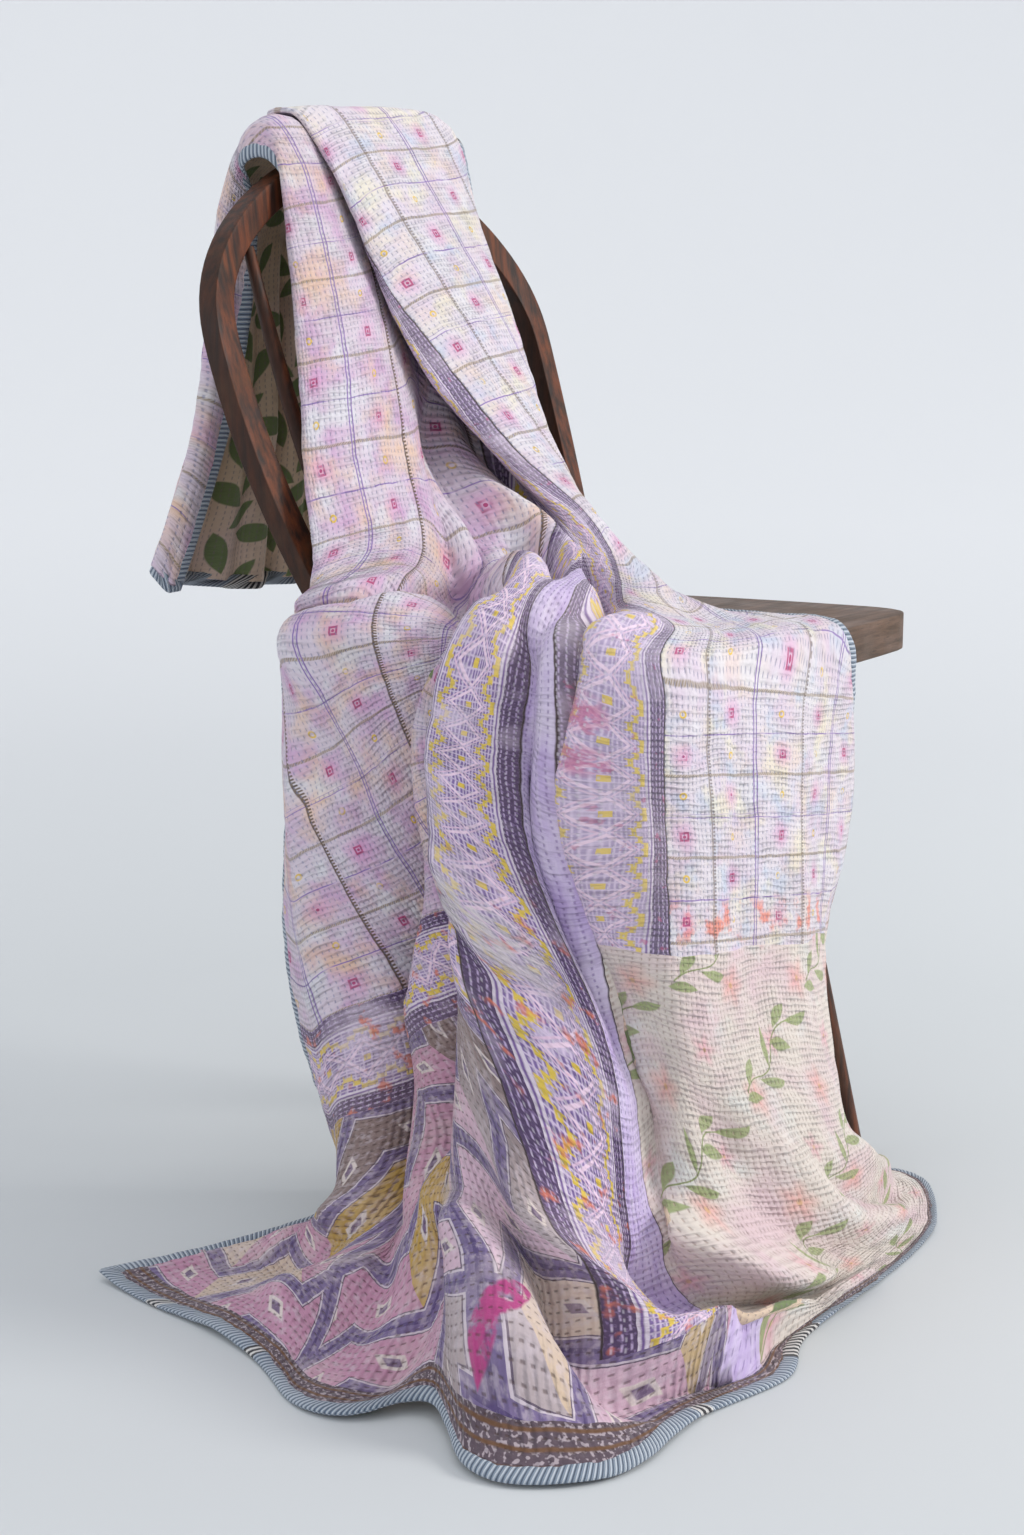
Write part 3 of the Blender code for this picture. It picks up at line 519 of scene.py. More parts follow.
# The tail hangs in narrow pleats.
tail = rise(-0.83, -0.98, v) * rise(0.0, 0.03, u + 0.11) * rise(0.0, 0.03, 0.42 - u)
lift += 0.0065 * tail * np.sin(2 * math.pi * (u + 0.006 * humps(5, 0.08, 0.2)) / 0.043)
for width, depth, places in CREASES:
    nearest, share = np.full_like(u, 9.0), np.zeros_like(u)
    for number, ((start_u, start_v), (end_u, end_v)) in enumerate(zip(places, places[1:])):
        run, rising = (end_u - start_u) * 0.001, (end_v - start_v) * 0.001
        from_u, from_v = u - start_u * 0.001, v - start_v * 0.001
        inside = np.clip((from_u * run + from_v * rising) / (run * run + rising * rising), 0, 1)
        away = np.hypot(from_u - inside * run, from_v - inside * rising)
        share = np.where(away < nearest, (number + inside) / (len(places) - 1), share)
        nearest = np.minimum(away, nearest)
    fading = rise(-0.06, 0.22, share) * rise(-0.06, 0.22, 1 - share)
    lift -= depth * 0.001 * fading * np.exp(-(nearest / (width * 0.001))**2)
normals = normals_of(blurred(drape, 6))
drape = drape + normals * lift[..., None]


def rest_on_chair_and_floor(points):
    """Lifts what would sink into the seat or the floor."""
    x, y, z = points[..., 0], points[..., 1], points[..., 2]
    over_seat = (np.abs(x) < HALF_SEAT[0]) & (np.abs(y) < HALF_SEAT[1]) & (z > SEAT_TOP - 0.02)
    z[over_seat] = np.maximum(z[over_seat], SEAT_TOP + SEAT_GAP)
    z[:] = np.maximum(z, QUILT_THICK / 2)


rest_on_chair_and_floor(drape)
drape += MIDDLE


def drawn_in(surface, margin):
    """The surface with its four edges drawn in by a margin measured along the cloth."""
    fresh = np.empty_like(surface)
    numbers = np.arange(surface.shape[1])
    for line, row in zip(surface, fresh):
        lengths = np.concatenate(((0,), np.cumsum(np.linalg.norm(np.diff(line, axis=0), axis=1))))
        first, last = np.interp((margin, lengths[-1] - margin), lengths, numbers)
        places = first + (last - first) * numbers / numbers[-1]
        for part in range(3):
            row[:, part] = np.interp(places, numbers, line[:, part])
    for end, beside in ((0, 1), (-1, -2)):
        inward = fresh[beside] - fresh[end]
        fresh[end] += inward * margin / np.linalg.norm(inward, axis=1, keepdims=True)
    return fresh


def border(grid):
    """The grid's outermost points in order, once round."""
    return np.concatenate((grid[0, :-1], grid[:-1, -1], grid[-1, :0:-1], grid[:0:-1, 0]))


def new_object(name, points, faces):
    """A smooth-shaded mesh object of points and faces, in the scene."""
    fresh = bpy.data.meshes.new(name)
    fresh.from_pydata(points, [], faces)
    fresh.polygons.foreach_set("use_smooth", np.ones(len(faces), bool))
    made = bpy.data.objects.new(name, fresh)
    bpy.context.scene.collection.objects.link(made)
    return made


cloth = drawn_in(drape, SEWN_IN)
normals = normals_of(cloth)
top = (cloth + normals * QUILT_THICK / 2).reshape(-1, 3)
bottom = (cloth - normals * QUILT_THICK / 2).reshape(-1, 3)
points = np.concatenate((top, bottom))
points[:, 2] = np.maximum(points[:, 2], 0.0)
grid = np.arange(ROWS * COLUMNS).reshape(ROWS, COLUMNS)
quads = np.stack((grid[:-1, :-1], grid[1:, :-1], grid[1:, 1:], grid[:-1, 1:]), axis=-1).reshape(-1, 4)
rim = border(grid)
ahead = np.roll(rim, -1)
under = ROWS * COLUMNS
faces = np.concatenate((quads, quads[:, ::-1] + under,
                        np.stack((rim, ahead, ahead + under, rim + under), axis=-1)))
quilt = new_object("kantha_quilt", points.tolist(), faces.tolist())
mesh = quilt.data
layer = mesh.uv_layers.new(name="flat cloth")
corners = np.zeros(len(mesh.loops), int)
mesh.loops.foreach_get("vertex_index", corners)
layer.data.foreach_set("uv", flat.reshape(-1, 2)[corners % under].astype(np.float32).ravel())
mesh.polygons.foreach_set("material_index", np.repeat((0, 1, 0), (len(quads), len(quads), len(rim))))
mesh.update()


def woven(shade, rough, relief, sheen):
    """Ends the tree in hand as matt cloth."""
    add("OutputMaterial", add("BsdfPrincipled", Base_Color=shade, Roughness=rough, Normal=relief,
                              Sheen_Weight=sheen, Sheen_Roughness=0.5, IOR=1.45))


def past(value, at, every):
    """How far a value is past the nearest repeat of a place."""
    return add("WRAP", add("SUBTRACT", value, at), every / 2, -every / 2)


def lines(value, at, every, half, soft=0.00035):
    """A mask of lines so wide either side of a place, and again at every so far from it."""
    return add("MapRange", add("ABSOLUTE", past(value, at, every)), half + soft, half - soft)


def band(value, span):
    """A mask of the cloth between two seams."""
    return lines(value, midway(span), 2, (span[1] - span[0]) / 2, 0.0001)


def distance(vector, at):
    """How far a vector is from a place."""
    return add("VectorMath", add("VectorMath", vector, at, operation="SUBTRACT"), operation="LENGTH")


def both(*masks):
    """Where all the masks are 1."""
    product = masks[0]
    for mask in masks[1:]:
        product = add("MULTIPLY", product, mask)
    return product


def blots(scale, low, high, most=1.0, at=(0, 0, 0), stretch=(1, 1, 1)):
    """A mask of soft blots about 1/scale metres wide."""
    shifted = add("Mapping", place, Location=at, Scale=stretch)
    return add("MapRange", add("TexNoise", shifted, Scale=scale, Detail=3.0, Roughness=0.55),
               low, high, 0.0, most)


def leaf(x, y, at, turn, long, wide, tile):
    """A mask of a pointed leaf with its middle at a place in a repeating tile (width, height)."""
    near = add("CombineXYZ", past(x, at[0], tile[0]), past(y, at[1], tile[1]), 0.0)
    turned = add("VectorRotate", near, Angle=math.radians(turn), rotation_type="Z_AXIS")
    split = add("SeparateXYZ", turned)
    bowed = add("MULTIPLY", add("POWER", split, 2.0), wide / 2 / (long / 2)**2)
    edge = add("ADD", add("ABSOLUTE", split.node.outputs[1]), bowed)
    return add("MapRange", edge, wide / 2 + 0.0006, wide / 2 - 0.0006)


# The patchwork side: old block-printed and striped cottons pieced together and quilted with close
# rows of running stitch. Its patterns are drawn on the flat cloth, in metres.
printed = new_material("pieced block-printed cotton, quilted")
raw = add("UVMap", uv_map="flat cloth")
drawn = add("VectorMath", add("TexNoise", raw, Scale=70.0, Detail=2.0, out=1), (0.5, 0.5, 0.5),
            operation="SUBTRACT")
place = add("VectorMath", drawn, (0.0022, 0.0022, 0.0), raw, operation="MULTIPLY_ADD")
x = add("SeparateXYZ", place)
y = x.node.outputs[1]
right = add("GREATER_THAN", x, RIGHT_BORDER[0])

# Checked cotton: a watery pale ground, tan and violet lines, and a rosette or a ring in each check.
checks = painted(
    ink("#D2C4D1"), (blots(30, 0.45, 0.64, 0.85), "#C79FC4"),
    (blots(22, 0.50, 0.68, 0.8, at=(3, 1, 0)), "#E2BFA2"),
    (blots(26, 0.53, 0.64, 0.7, at=(7, 5, 0)), "#D9D9DE"), (add("MULTIPLY", right, 0.50), "#DCD8DC"),
    (both(right, blots(34, 0.53, 0.66, 0.6, at=(1, 8, 0))), "#B4C3D8"),
    (both(right, blots(28, 0.53, 0.66, 0.6, at=(4, 3, 0))), "#E4DCC0"),
    (both(right, lines(y, -0.076, 2, 0.014, 0.006), blots(60, 0.52, 0.62, 0.8)), "#E5836C"))
check_x = add("MULTIPLY_ADD", right, 0.003, x)
in_x, in_y = past(check_x, CHECK_WIDE / 2, CHECK_WIDE), past(y, -CHECK_TALL / 2, CHECK_TALL)
radius = add("VectorMath", add("CombineXYZ", in_x, in_y, 0.0), operation="LENGTH")
square = add("MAXIMUM", add("ABSOLUTE", in_x), add("ABSOLUTE", in_y))
count = add("ADD", add("FLOOR", add("DIVIDE", check_x, CHECK_WIDE)),
            add("FLOOR", add("DIVIDE", y, CHECK_TALL)))
odd = add("GREATER_THAN", add("FRACT", add("MULTIPLY", count, 0.5)), 0.25)
even = add("SUBTRACT", 1.0, odd)
worn_print = blots(45, 0.34, 0.52, 1.0, at=(2, 2, 0))
slanted = lines(add("ADD", x, y), 0, 0.0021, 0.0006)
rope = add("MULTIPLY_ADD", slanted, 0.42, 0.40)
ticks = both(lines(check_x, 0.0016, CHECK_WIDE * 2, 0.0018), lines(y, 0, 0.0026, 0.0007, 0.0002))
seam_line = add("MAXIMUM", lines(check_x, 0, CHECK_WIDE * 2, 0.0009), ticks)
checks = painted(
    checks, (both(even, add("MapRange", radius, 0.013, 0.003, 0.0, 0.55)), "#D893C0"),
    (both(even, worn_print, lines(square, 0.0027, 1, 0.0008)), "#B04A78"),
    (both(even, add("LESS_THAN", radius, 0.0012)), "#B04A78"),
    (both(odd, worn_print, lines(radius, 0.0022, 1, 0.0007)), "#DDB947"),
    (both(lines(y, 0, CHECK_TALL * 2, 0.0011), rope), "#8E7C5F"),
    (both(lines(y, CHECK_TALL, CHECK_TALL * 2, 0.0016), lines(y, 0, 0.0032, 0.0005, 0.0002), worn_print),
     "#8A72AC"),
    (both(lines(check_x, CHECK_WIDE, CHECK_WIDE * 2, 0.0022),
          lines(check_x, 0.0015, 0.003, 0.0006, 0.0002)), "#8A72AC"),
    (add("MULTIPLY", seam_line, add("MULTIPLY_ADD", right, -0.30, 0.92)), "#5F4A33"))

# Printed border: a chain of diamonds between stepped lines, thin lines and a dark speckled stripe.
# It runs down the cloth either side of the lavender strip, and across it at the left.
level = add("LESS_THAN", x, LEFT_BORDER[0])
middle = add("MULTIPLY_ADD", right, midway(RIGHT_BORDER) - midway(LEFT_BORDER), midway(LEFT_BORDER))
off = add("ABSOLUTE", add("Mix", level, add("SUBTRACT", x, middle),
                          add("SUBTRACT", y, midway(LEVEL_BORDER))))
run = add("Mix", level, y, x)
grain = add("TexNoise", place, Scale=480.0, Detail=1.0)
dashes = both(lines(off, 0, 0.0023, 0.0007, 0.0003), lines(run, 0, 0.0052, 0.0021, 0.0004),
              blots(60, 0.30, 0.45), add("MULTIPLY_ADD", right, -0.4, 1.0))
hatch = both(lines(off, 0.0011, 0.0033, 0.0004, 0.0003), lines(run, 0, 0.0046, 0.0015, 0.0004))
in_run = add("ABSOLUTE", past(run, 0.0, DIAMOND_STEP))
stair = add("MULTIPLY_ADD", add("FLOOR", add("DIVIDE", in_run, 0.0050)), 0.0036, off)
riser = both(lines(in_run, 0, 0.0050, 0.0009), lines(stair, 0.0184, 1, 0.0022))
diamond = add("ADD", off, in_run)
jewel = add("LESS_THAN", add("MAXIMUM", off, in_run), 0.0022)
faded = blots(17, 0.52, 0.66, 0.62, at=(4, 9, 0))
low_spots = both(blots(70, 0.58, 0.66, 0.8, at=(9, 4, 0)),
                 add("MapRange", y, -0.09, 0.0), add("SUBTRACT", 1.0, right))
border_print = painted(
    ink("#584568"), (hatch, "#C4AFD4"), (add("MapRange", grain, 0.56, 0.66, 0.0, 0.7), "#8C76A0"),
    (add("LESS_THAN", off, 0.0255), "#DCCFDD"), (lines(off, 0.0236, 1, 0.0006), "#7A5F98"),
    (add("LESS_THAN", off, 0.0215), over(ink("#D6C3DD"), dashes, "#8069A0")),
    (lines(stair, 0.0194, 1, 0.0016), "#E0C255"), (riser, "#E0C255"),
    (lines(diamond, 0.0115, 1, 0.0012), "#EFD2E6"), (lines(diamond, 0.0150, 1, 0.0007), "#E3C3DC"),
    (jewel, "#E0C052"), (faded, "#D5C6D8"),
    (both(right, blots(110, 0.62, 0.68, 0.6, at=(5, 1, 0))), "#B8487A"), (low_spots, "#D9775C"))
for at, wide, shade in (((0.152, -0.012), 0.036, "#DAD2D3"), ((0.262, -0.222), 0.015, "#BC467E"),
                        ((0.266, -0.192), 0.012, "#BC467E")):
    away = distance(place, (*at, 0.0))
    stain = both(add("MapRange", away, wide, wide * 0.5, 0.0, 0.75), blots(150, 0.38, 0.52))
    border_print = over(border_print, stain, shade)
in_border = add("MAXIMUM", both(level, band(y, LEVEL_BORDER)),
                add("MAXIMUM", band(x, LEFT_BORDER), band(x, RIGHT_BORDER)))
border_print = over(border_print, add("MULTIPLY", right, 0.10), "#EFE6F0")
colour = over(checks, in_border, border_print)

# Lavender strip: plain sateen, faded in streaks down its length.
streaks = blots(1, 0.40, 0.65, 0.75, stretch=(260, 30, 1))
lavender = painted(ink("#BCA6D6"), (streaks, "#D8CAE7"), (blots(14, 0.44, 0.64, 0.65), "#E0D6E8"))
in_lavender = band(x, LAVENDER)
colour = over(colour, in_lavender, lavender)

# Patch print: zigzag strips turned on the cloth, in violet, pink, mustard, beige and off-white.
STRIP_WIDE, STRIP_TALL = 0.072, 0.047
turned = add("SeparateXYZ", add("VectorRotate", place, Angle=math.radians(34), rotation_type="Z_AXIS"))
strip_x, strip_y = turned, turned.node.outputs[1]
zig = add("MULTIPLY_ADD", add("PINGPONG", strip_x, STRIP_WIDE / 2), 0.9, strip_y)
cell = add("CombineXYZ", add("FLOOR", add("DIVIDE", zig, STRIP_TALL)),
           add("FLOOR", add("DIVIDE", strip_x, STRIP_WIDE)), 0.0)
pick = add("TexWhiteNoise", cell, noise_dimensions="2D")
patch = ink("#BE8BA5")
for share, shade in ((0.34, "#B8954A"), (0.54, "#84706E"), (0.76, "#CDB7A6"), (0.88, "#CF98B6")):
    patch = over(patch, add("GREATER_THAN", pick, share), shade)
from_front = distance(place, (0.095, 0.205, 0.0))
patch = over(patch, add("MapRange", from_front, 0.120, 0.020, 0.0, 0.60), "#E8DCE4")
for half, shade in ((0.0050, "#D9CBC6"), (0.0028, "#77627F")):
    eye = both(lines(zig, STRIP_TALL / 2, STRIP_TALL, half),
               lines(strip_x, STRIP_WIDE / 4, STRIP_WIDE / 2, half))
    patch = over(patch, eye, shade)
road = add("MINIMUM", add("ABSOLUTE", past(zig, 0.0, STRIP_TALL)),
           add("ABSOLUTE", past(add("MULTIPLY_ADD", zig, 0.35, strip_x), 0.0, STRIP_WIDE * 2)))
for half, shade in ((0.0078, "#6A5C6E"), (0.0070, "#CBBEC9"), (0.0058, "#77678F"), (0.0012, "#5B4B78")):
    patch = over(patch, add("LESS_THAN", road, half), shade)
patch = painted(patch, (blots(24, 0.52, 0.70, 0.5, at=(2, 6, 0)), "#D9C9C4"),
                (blots(210, 0.50, 0.64, 0.42, at=(1, 1, 0)), "#CDBFC8"))
# A small magenta sprig of two leaves is sewn on near the hem.
for at, turn in (((0.060, 0.250), 74), ((0.070, 0.238), 34)):
    sewn_on = both(leaf(x, y, at, turn, 0.034, 0.012, (4, 4)), blots(150, 0.34, 0.50))
    patch = over(patch, sewn_on, "#B24380")
patch_edge = add("MULTIPLY_ADD", level, LEVEL_BORDER[1] - LEFT_BORDER_ENDS, LEFT_BORDER_ENDS)
in_patch = both(add("LESS_THAN", x, LEFT_BORDER[1]), add("GREATER_THAN", y, patch_edge))
colour = over(colour, in_patch, patch)

# Floral print: olive sprays and soft coral blooms over a washed cream and pink ground.
floral = painted(ink("#DACFC6"), (blots(16, 0.45, 0.66, 0.85, at=(6, 2, 0)), "#D8BDC3"),
                 (blots(24, 0.55, 0.70, 0.6, at=(8, 8, 0)), "#D9DDD9"))
for bloom_at, size, shade in (((0.018, 0.052), 0.017, "#E58E86"), ((0.062, 0.016), 0.012, "#DE8FA2")):
    bloom_x, bloom_y = past(x, bloom_at[0], 0.090), past(y, bloom_at[1], 0.080)
    turning = add("COSINE", add("MULTIPLY", add("ARCTAN2", bloom_y, bloom_x), 5.0))
    out_from = add("VectorMath", add("CombineXYZ", bloom_x, bloom_y, 0.0), operation="LENGTH")
    petals = add("MULTIPLY_ADD", turning, -0.0022, out_from)
    floral = painted(floral, (add("MapRange", petals, size, size * 0.2, 0.0, 0.5), shade),
                     (add("MapRange", out_from, size * 0.18, size * 0.08, 0.0, 0.5), "#C9A24A"))
climbing = add("SeparateXYZ", add("VectorRotate", place, Angle=math.radians(33), rotation_type="Z_AXIS"))
bent = add("MULTIPLY_ADD", add("SINE", add("MULTIPLY", climbing, 2 * math.pi / 0.068)), 0.006,
           climbing.node.outputs[1])
floral = over(floral, both(lines(bent, 0.050, 0.098, 0.0006), lines(climbing, 0.060, 0.136, 0.050)),
              "#8A9464")
for at, turn, long, wide in (((0.014, 0.058), -42, 0.025, 0.008), ((0.028, 0.042), 36, 0.027, 0.009),
                             ((0.046, 0.060), -34, 0.028, 0.009), ((0.062, 0.041), 44, 0.024, 0.008),
                             ((0.080, 0.060), -50, 0.027, 0.009), ((0.094, 0.042), 28, 0.026, 0.009),
                             ((0.112, 0.052), -8, 0.028, 0.009)):
    sprig = leaf(climbing, bent, at, turn, long, wide, (0.136, 0.098))
    floral = over(floral, add("MULTIPLY", sprig, 0.88), "#93A069")
flowers_from = add("MULTIPLY_ADD", add("TexNoise", place, Scale=9.0), 0.020, -0.066)
in_floral = both(right, add("GREATER_THAN", y, flowers_from))
colour = over(colour, in_floral, floral)

# Hem: a dark speckled strip above the binding.
hem = painted(ink("#5A4B55"), (add("MapRange", grain, 0.53, 0.60), "#A99BA2"),
              (lines(y, 0.0, 0.0065, 0.0008), "#6B4B35"))
in_hem = both(add("GREATER_THAN", y, HEM_STRIP[0]), add("LESS_THAN", y, HEM_STRIP[1]))
colour = over(colour, in_hem, hem)
for seam in LEFT_BORDER + RIGHT_BORDER:
    sewn = both(lines(x, seam, 2, 0.0006), add("SUBTRACT", 1.0, in_floral),
                add("LESS_THAN", y, LEFT_BORDER_ENDS))
    colour = over(colour, sewn, "#3B2F33")

# Running stitch: blue-grey thread down the cloth in rows, and brown thread across the patch print.
# Neighbouring rows are nearly in step, so the cloth between their stitches rises in cross ripples.
side = add("Mix", in_patch, x, y)
forward = add("Mix", in_patch, y, x)
drift = add("TexNoise", place, Scale=13.0, Detail=1.0)
stepped = add("MULTIPLY_ADD", drift, 0.014, forward)
thread = both(lines(side, 0, STITCH_ROW, 0.0004, 0.0002), lines(stepped, 0, STITCH, STITCH * 0.22))
thread_shade = painted(ink("#7F86AE"), (in_border, "#DED6E4"), (in_floral, "#B59A8C"),
                       (in_patch, "#4A3328"), (in_lavender, "#7D62A8"))
colour = over(colour, add("MULTIPLY", thread, 0.52), thread_shade)
soiled = blots(6, 0.45, 0.75, 0.35, at=(1, 3, 0))
colour = over(colour, soiled, over(colour, 0.5, "#B8A796"))

# Puckers: the thread pulls the layers down, and the cloth ripples up between.
channel = add("COSINE", add("MULTIPLY", side, 2 * math.pi / STITCH_ROW))
across = add("COSINE", add("MULTIPLY", stepped, 2 * math.pi / STITCH))
ripple = add("TexNoise", add("Mapping", place, Scale=(70, 210, 1)), Scale=1.0, Detail=2.0)
crimp = add("TexNoise", add("Mapping", place, Scale=(330, 160, 1)), Scale=1.0, Detail=1.0)
weave = add("TexNoise", place, Scale=1500.0, Detail=1.0)
uneven = add("MapRange", add("TexNoise", place, Scale=48.0, Detail=1.0), 0.35, 0.65, 0.06, 0.36)
height = add("MULTIPLY", add("MULTIPLY_ADD", channel, 0.35, across), add("MULTIPLY", uneven, -1.0))
for relief, share in ((ripple, 1.9), (crimp, 0.6), (weave, 0.12), (thread, -0.25)):
    height = add("MULTIPLY_ADD", relief, share, height)
# Painted shade: the low furrows between the puckers are darkened, by up to 16%, towards a dusky mauve.
colour = over(colour, add("MapRange", height, 0.95, 0.50, 0.0, 0.16), "#857480")
relief = add("Bump", Strength=0.9, Distance=0.0020, Height=height)
woven(colour, 0.86, relief, 0.18)

# The reverse: one length of faded beige-pink cotton with large green leaves.
plain_back = new_material("faded leaf-printed cotton backing")
place = add("UVMap", uv_map="flat cloth")
x = add("SeparateXYZ", place)
y = x.node.outputs[1]
backing = painted(ink("#DCC4AA"), (blots(12, 0.45, 0.68, 0.8), "#D6BDB6"),
                  (blots(30, 0.52, 0.70, 0.5, at=(5, 2, 0)), "#A58F7C"))
for at, turn, long, wide in (((0.014, 0.012), 35, 0.040, 0.016), ((0.044, 0.022), -48, 0.038, 0.015),
                             ((0.016, 0.048), 74, 0.036, 0.014), ((0.052, 0.058), 12, 0.040, 0.015),
                             ((0.034, 0.076), -30, 0.034, 0.013)):
    backing = over(backing, add("MULTIPLY", leaf(x, y, at, turn, long, wide, (0.072, 0.084)), 0.88),
                   "#57733F")
stitched = both(lines(x, 0, STITCH_ROW, 0.00042, 0.0002), lines(y, 0, STITCH, STITCH * 0.27))
backing = over(backing, add("MULTIPLY", stitched, 0.5), "#7E6F74")
channel = add("COSINE", add("MULTIPLY", x, 2 * math.pi / STITCH_ROW))
ripple = add("TexNoise", add("Mapping", place, Scale=(75, 235, 1)), Scale=1.0, Detail=2.0)
height = add("MULTIPLY_ADD", ripple, 1.5, add("MULTIPLY", channel, 0.16))
relief = add("Bump", Strength=0.6, Distance=0.0014, Height=height)
woven(backing, 0.88, relief, 0.15)
mesh.materials.append(printed)
mesh.materials.append(plain_back)
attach(quilt, "root")
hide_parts("quilt", "binding")


# ---------------------------------------------------------------- binding
# A folded strip of blue-grey cotton about 12 mm wide, whipped over the quilt's edge all the way
# round with pale and dark threads, and pieced out here and there with a black-and-white print.
BINDING_WIDE, BINDING_THICK = 0.012, 0.0044
RING_STEP, RING_POINTS = 0.0025, 10
outer = border(drape)
inner = border(drawn_in(drape, BINDING_WIDE))
lift = border(normals_of(drape))
steps = np.linalg.norm(outer - np.roll(outer, 1, axis=0), axis=1)[1:]
lengths = np.concatenate(((0,), np.cumsum(steps)))
rings = int(lengths[-1] / RING_STEP)
at = np.linspace(0, lengths[-1], rings, endpoint=False)


def round_edge(line):
    """A line of points round the quilt, read at the evenly spaced rings."""
    return np.stack([np.interp(at, lengths, line[:, part]) for part in range(3)], axis=1)


outer, inner, lift = round_edge(outer), round_edge(inner), round_edge(lift)
swell = 1 + 0.10 * np.sin(at * 2 * math.pi / 0.031) + 0.07 * np.sin(at * 2 * math.pi / 0.0127)
spine = outer * 0.5 + inner * 0.5
half = (outer - inner) * 0.5
points = []
for turn in np.linspace(0, 2 * math.pi, RING_POINTS, endpoint=False):
    c, s = math.cos(turn), math.sin(turn)
    flatter = math.copysign(abs(c)**0.7, c)
    points.append(spine + half * flatter + lift * (s * BINDING_THICK / 2) * swell[:, None])
points = np.stack(points, axis=1)
points[..., 2] = np.maximum(points[..., 2], 0.0003)
grid = np.arange(rings * RING_POINTS).reshape(rings, RING_POINTS)
ahead, beside = np.roll(grid, -1, axis=0), np.roll(grid, -1, axis=1)
faces = np.stack((grid, ahead, np.roll(ahead, -1, axis=1), beside), axis=-1).reshape(-1, 4)
binding = new_object("binding_strip", points.reshape(-1, 3).tolist(), faces.tolist())
mesh = binding.data
layer = mesh.uv_layers.new(name="along strip")
next_at = np.append(at[1:], lengths[-1])
along_strip = np.stack((at, next_at, next_at, at), axis=1)
round_strip = np.arange(RING_POINTS)[:, None] + np.array((0, 0, 1, 1))
uvs = np.empty((rings, RING_POINTS, 4, 2), np.float32)
uvs[..., 0] = along_strip[:, None, :]
uvs[..., 1] = round_strip[None] / RING_POINTS
layer.data.foreach_set("uv", uvs.ravel())
fixed = bmesh.new()
fixed.from_mesh(mesh)
bmesh.ops.recalc_face_normals(fixed, faces=fixed.faces)
fixed.to_mesh(mesh)
fixed.free()

whipped = new_material("blue-grey binding cotton, whip-stitched")
place = add("UVMap", uv_map="along strip")
s = add("SeparateXYZ", place)
t = s.node.outputs[1]
slant = add("MULTIPLY_ADD", t, 0.0012, s)
patches = add("TexNoise", add("CombineXYZ", s, 0.0, 0.0), Scale=9.0, Detail=1.0)
pieced = over(ink("#E4E1DE"), lines(slant, 0.0, 0.0052, 0.0014, 0.0003), "#26242B")
edging = painted(ink("#97A4B4"), (add("MapRange", patches, 0.42, 0.60), "#7C8CA1"),
                 (lines(slant, 0.0, 0.0037, 0.0005, 0.0003), "#566273"),
                 (lines(slant, 0.0017, 0.0037, 0.0006, 0.0003), "#C6CDD6"),
                 (add("GREATER_THAN", patches, 0.62), pieced))
wound = add("COSINE", add("MULTIPLY", slant, 2 * math.pi / 0.00185))
relief = add("Bump", Strength=0.7, Distance=0.0006, Height=wound)
woven(edging, 0.85, relief, 0.2)
mesh.materials.append(whipped)
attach(binding, "root")


# ------------------------------------------------------- floor, light and camera
# A pale seamless floor that curves up into a backdrop, and soft light from the right.
FLOOR_RADIUS, COVE_RADIUS, COVE_BEND, SIDES = 2.2, 2.6, 1.45, 96
turns = np.linspace(0, 2 * math.pi, SIDES, endpoint=False)
profile = [(FLOOR_RADIUS * 0.5, 0.0), (FLOOR_RADIUS, 0.0)]
profile += [(FLOOR_RADIUS + COVE_RADIUS * math.sin(bend), COVE_RADIUS * (1 - math.cos(bend)))
            for bend in np.linspace(0, COVE_BEND, 14)[1:]]
points = [(r * math.cos(turn), r * math.sin(turn), z) for r, z in profile for turn in turns]
points.append((0, 0, 0))
faces = [(len(points) - 1, number, (number + 1) % SIDES) for number in range(SIDES)]
for ring in range(len(profile) - 1):
    for number in range(SIDES):
        low, after = ring * SIDES, (number + 1) % SIDES
        faces.append((low + number, low + SIDES + number, low + SIDES + after, low + after))
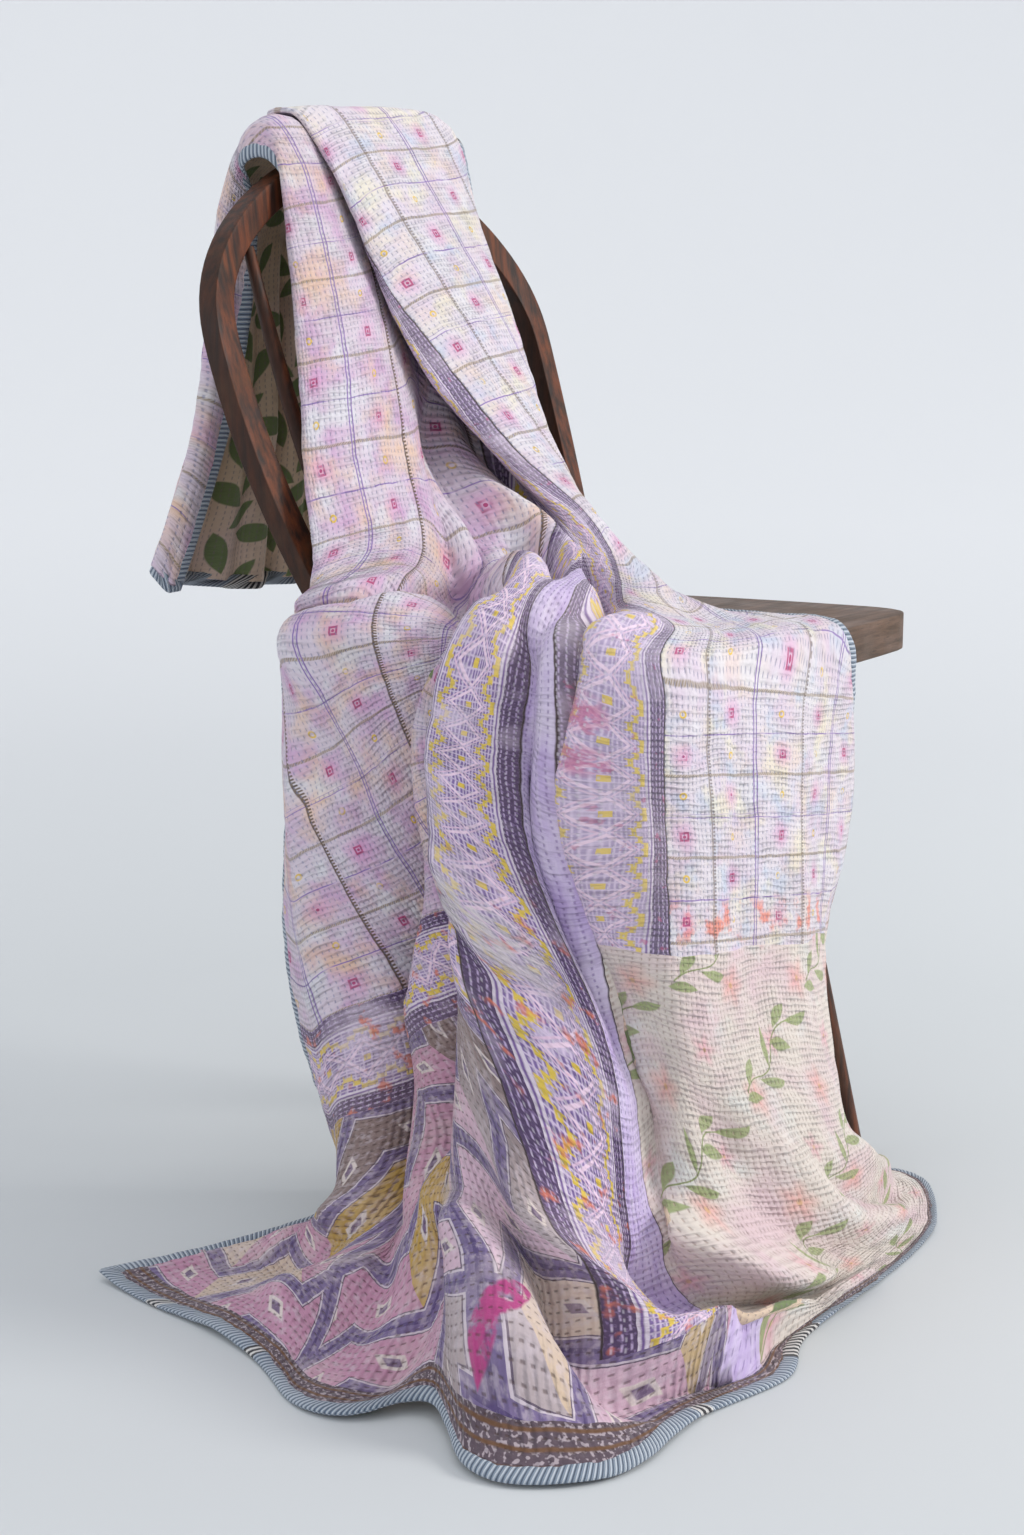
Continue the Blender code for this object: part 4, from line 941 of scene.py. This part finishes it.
floor = new_object("floor", points, faces)
pale = new_material("pale studio floor")
# Painted light: the floor is painted paler with distance from the middle, from 0.8 m out to 3.4 m up the
# cove, so the backdrop reads brighter.
paler_far_painted_light = add("MapRange", add("VectorMath", add("NewGeometry"), operation="LENGTH"), 0.8, 3.4)
add("OutputMaterial", add("BsdfPrincipled", Roughness=0.8,
                          Base_Color=over(ink("#CBCED0"), paler_far_painted_light, "#EBECEE")))
floor.data.materials.append(pale)

LIT = Vector((0, 0, SEAT_TOP + 0.005))       # the place that every lamp faces
for name, spot, size, power, tint in (
        ("soft key", (1.4, -2.9, 1.9), 1.3, 72, (1.0, 0.98, 0.95)),
        ("fill", (-2.8, 1.2, 1.4), 2.0, 11, (0.93, 0.96, 1.0)),
        ("top", (0.4, 0.2, 3.2), 2.4, 7, (1.0, 1.0, 1.0))):
    lamp = bpy.data.lights.new(name, "AREA")
    lamp.shape, lamp.size, lamp.energy, lamp.color = "DISK", size, power, tint
    light = bpy.data.objects.new(name, lamp)
    light.location = spot
    light.rotation_euler = (LIT - Vector(spot)).to_track_quat("-Z", "Y").to_euler()
    bpy.context.scene.collection.objects.link(light)
world = bpy.data.worlds.new("studio")
bpy.context.scene.world = world
world.use_nodes = True
sky = world.node_tree.nodes["Background"]
sky.inputs["Color"].default_value = (0.86, 0.89, 0.93, 1)
sky.inputs["Strength"].default_value = 0.90

# The camera stands at the front left, a little above the seat, and looks slightly down.
CAMERA_AT = Vector((-1.453, -0.891, 0.635))     # from the floor under the middle of the seat
HEADING, LOOKS_DOWN = (0.8295, 0.5586), math.radians(10.12)
SENSOR, LENS = 36, 52.79
camera = bpy.data.objects.new("camera", bpy.data.cameras.new("camera"))
camera.location = CAMERA_AT + Vector(MIDDLE)
looking = Vector((HEADING[0] * math.cos(LOOKS_DOWN), HEADING[1] * math.cos(LOOKS_DOWN),
                  -math.sin(LOOKS_DOWN)))
camera.rotation_euler = looking.to_track_quat("-Z", "Y").to_euler()
camera.data.sensor_width, camera.data.lens = SENSOR, LENS
bpy.context.scene.collection.objects.link(camera)
bpy.context.scene.camera = camera
bpy.context.scene.view_settings.view_transform = "Standard"
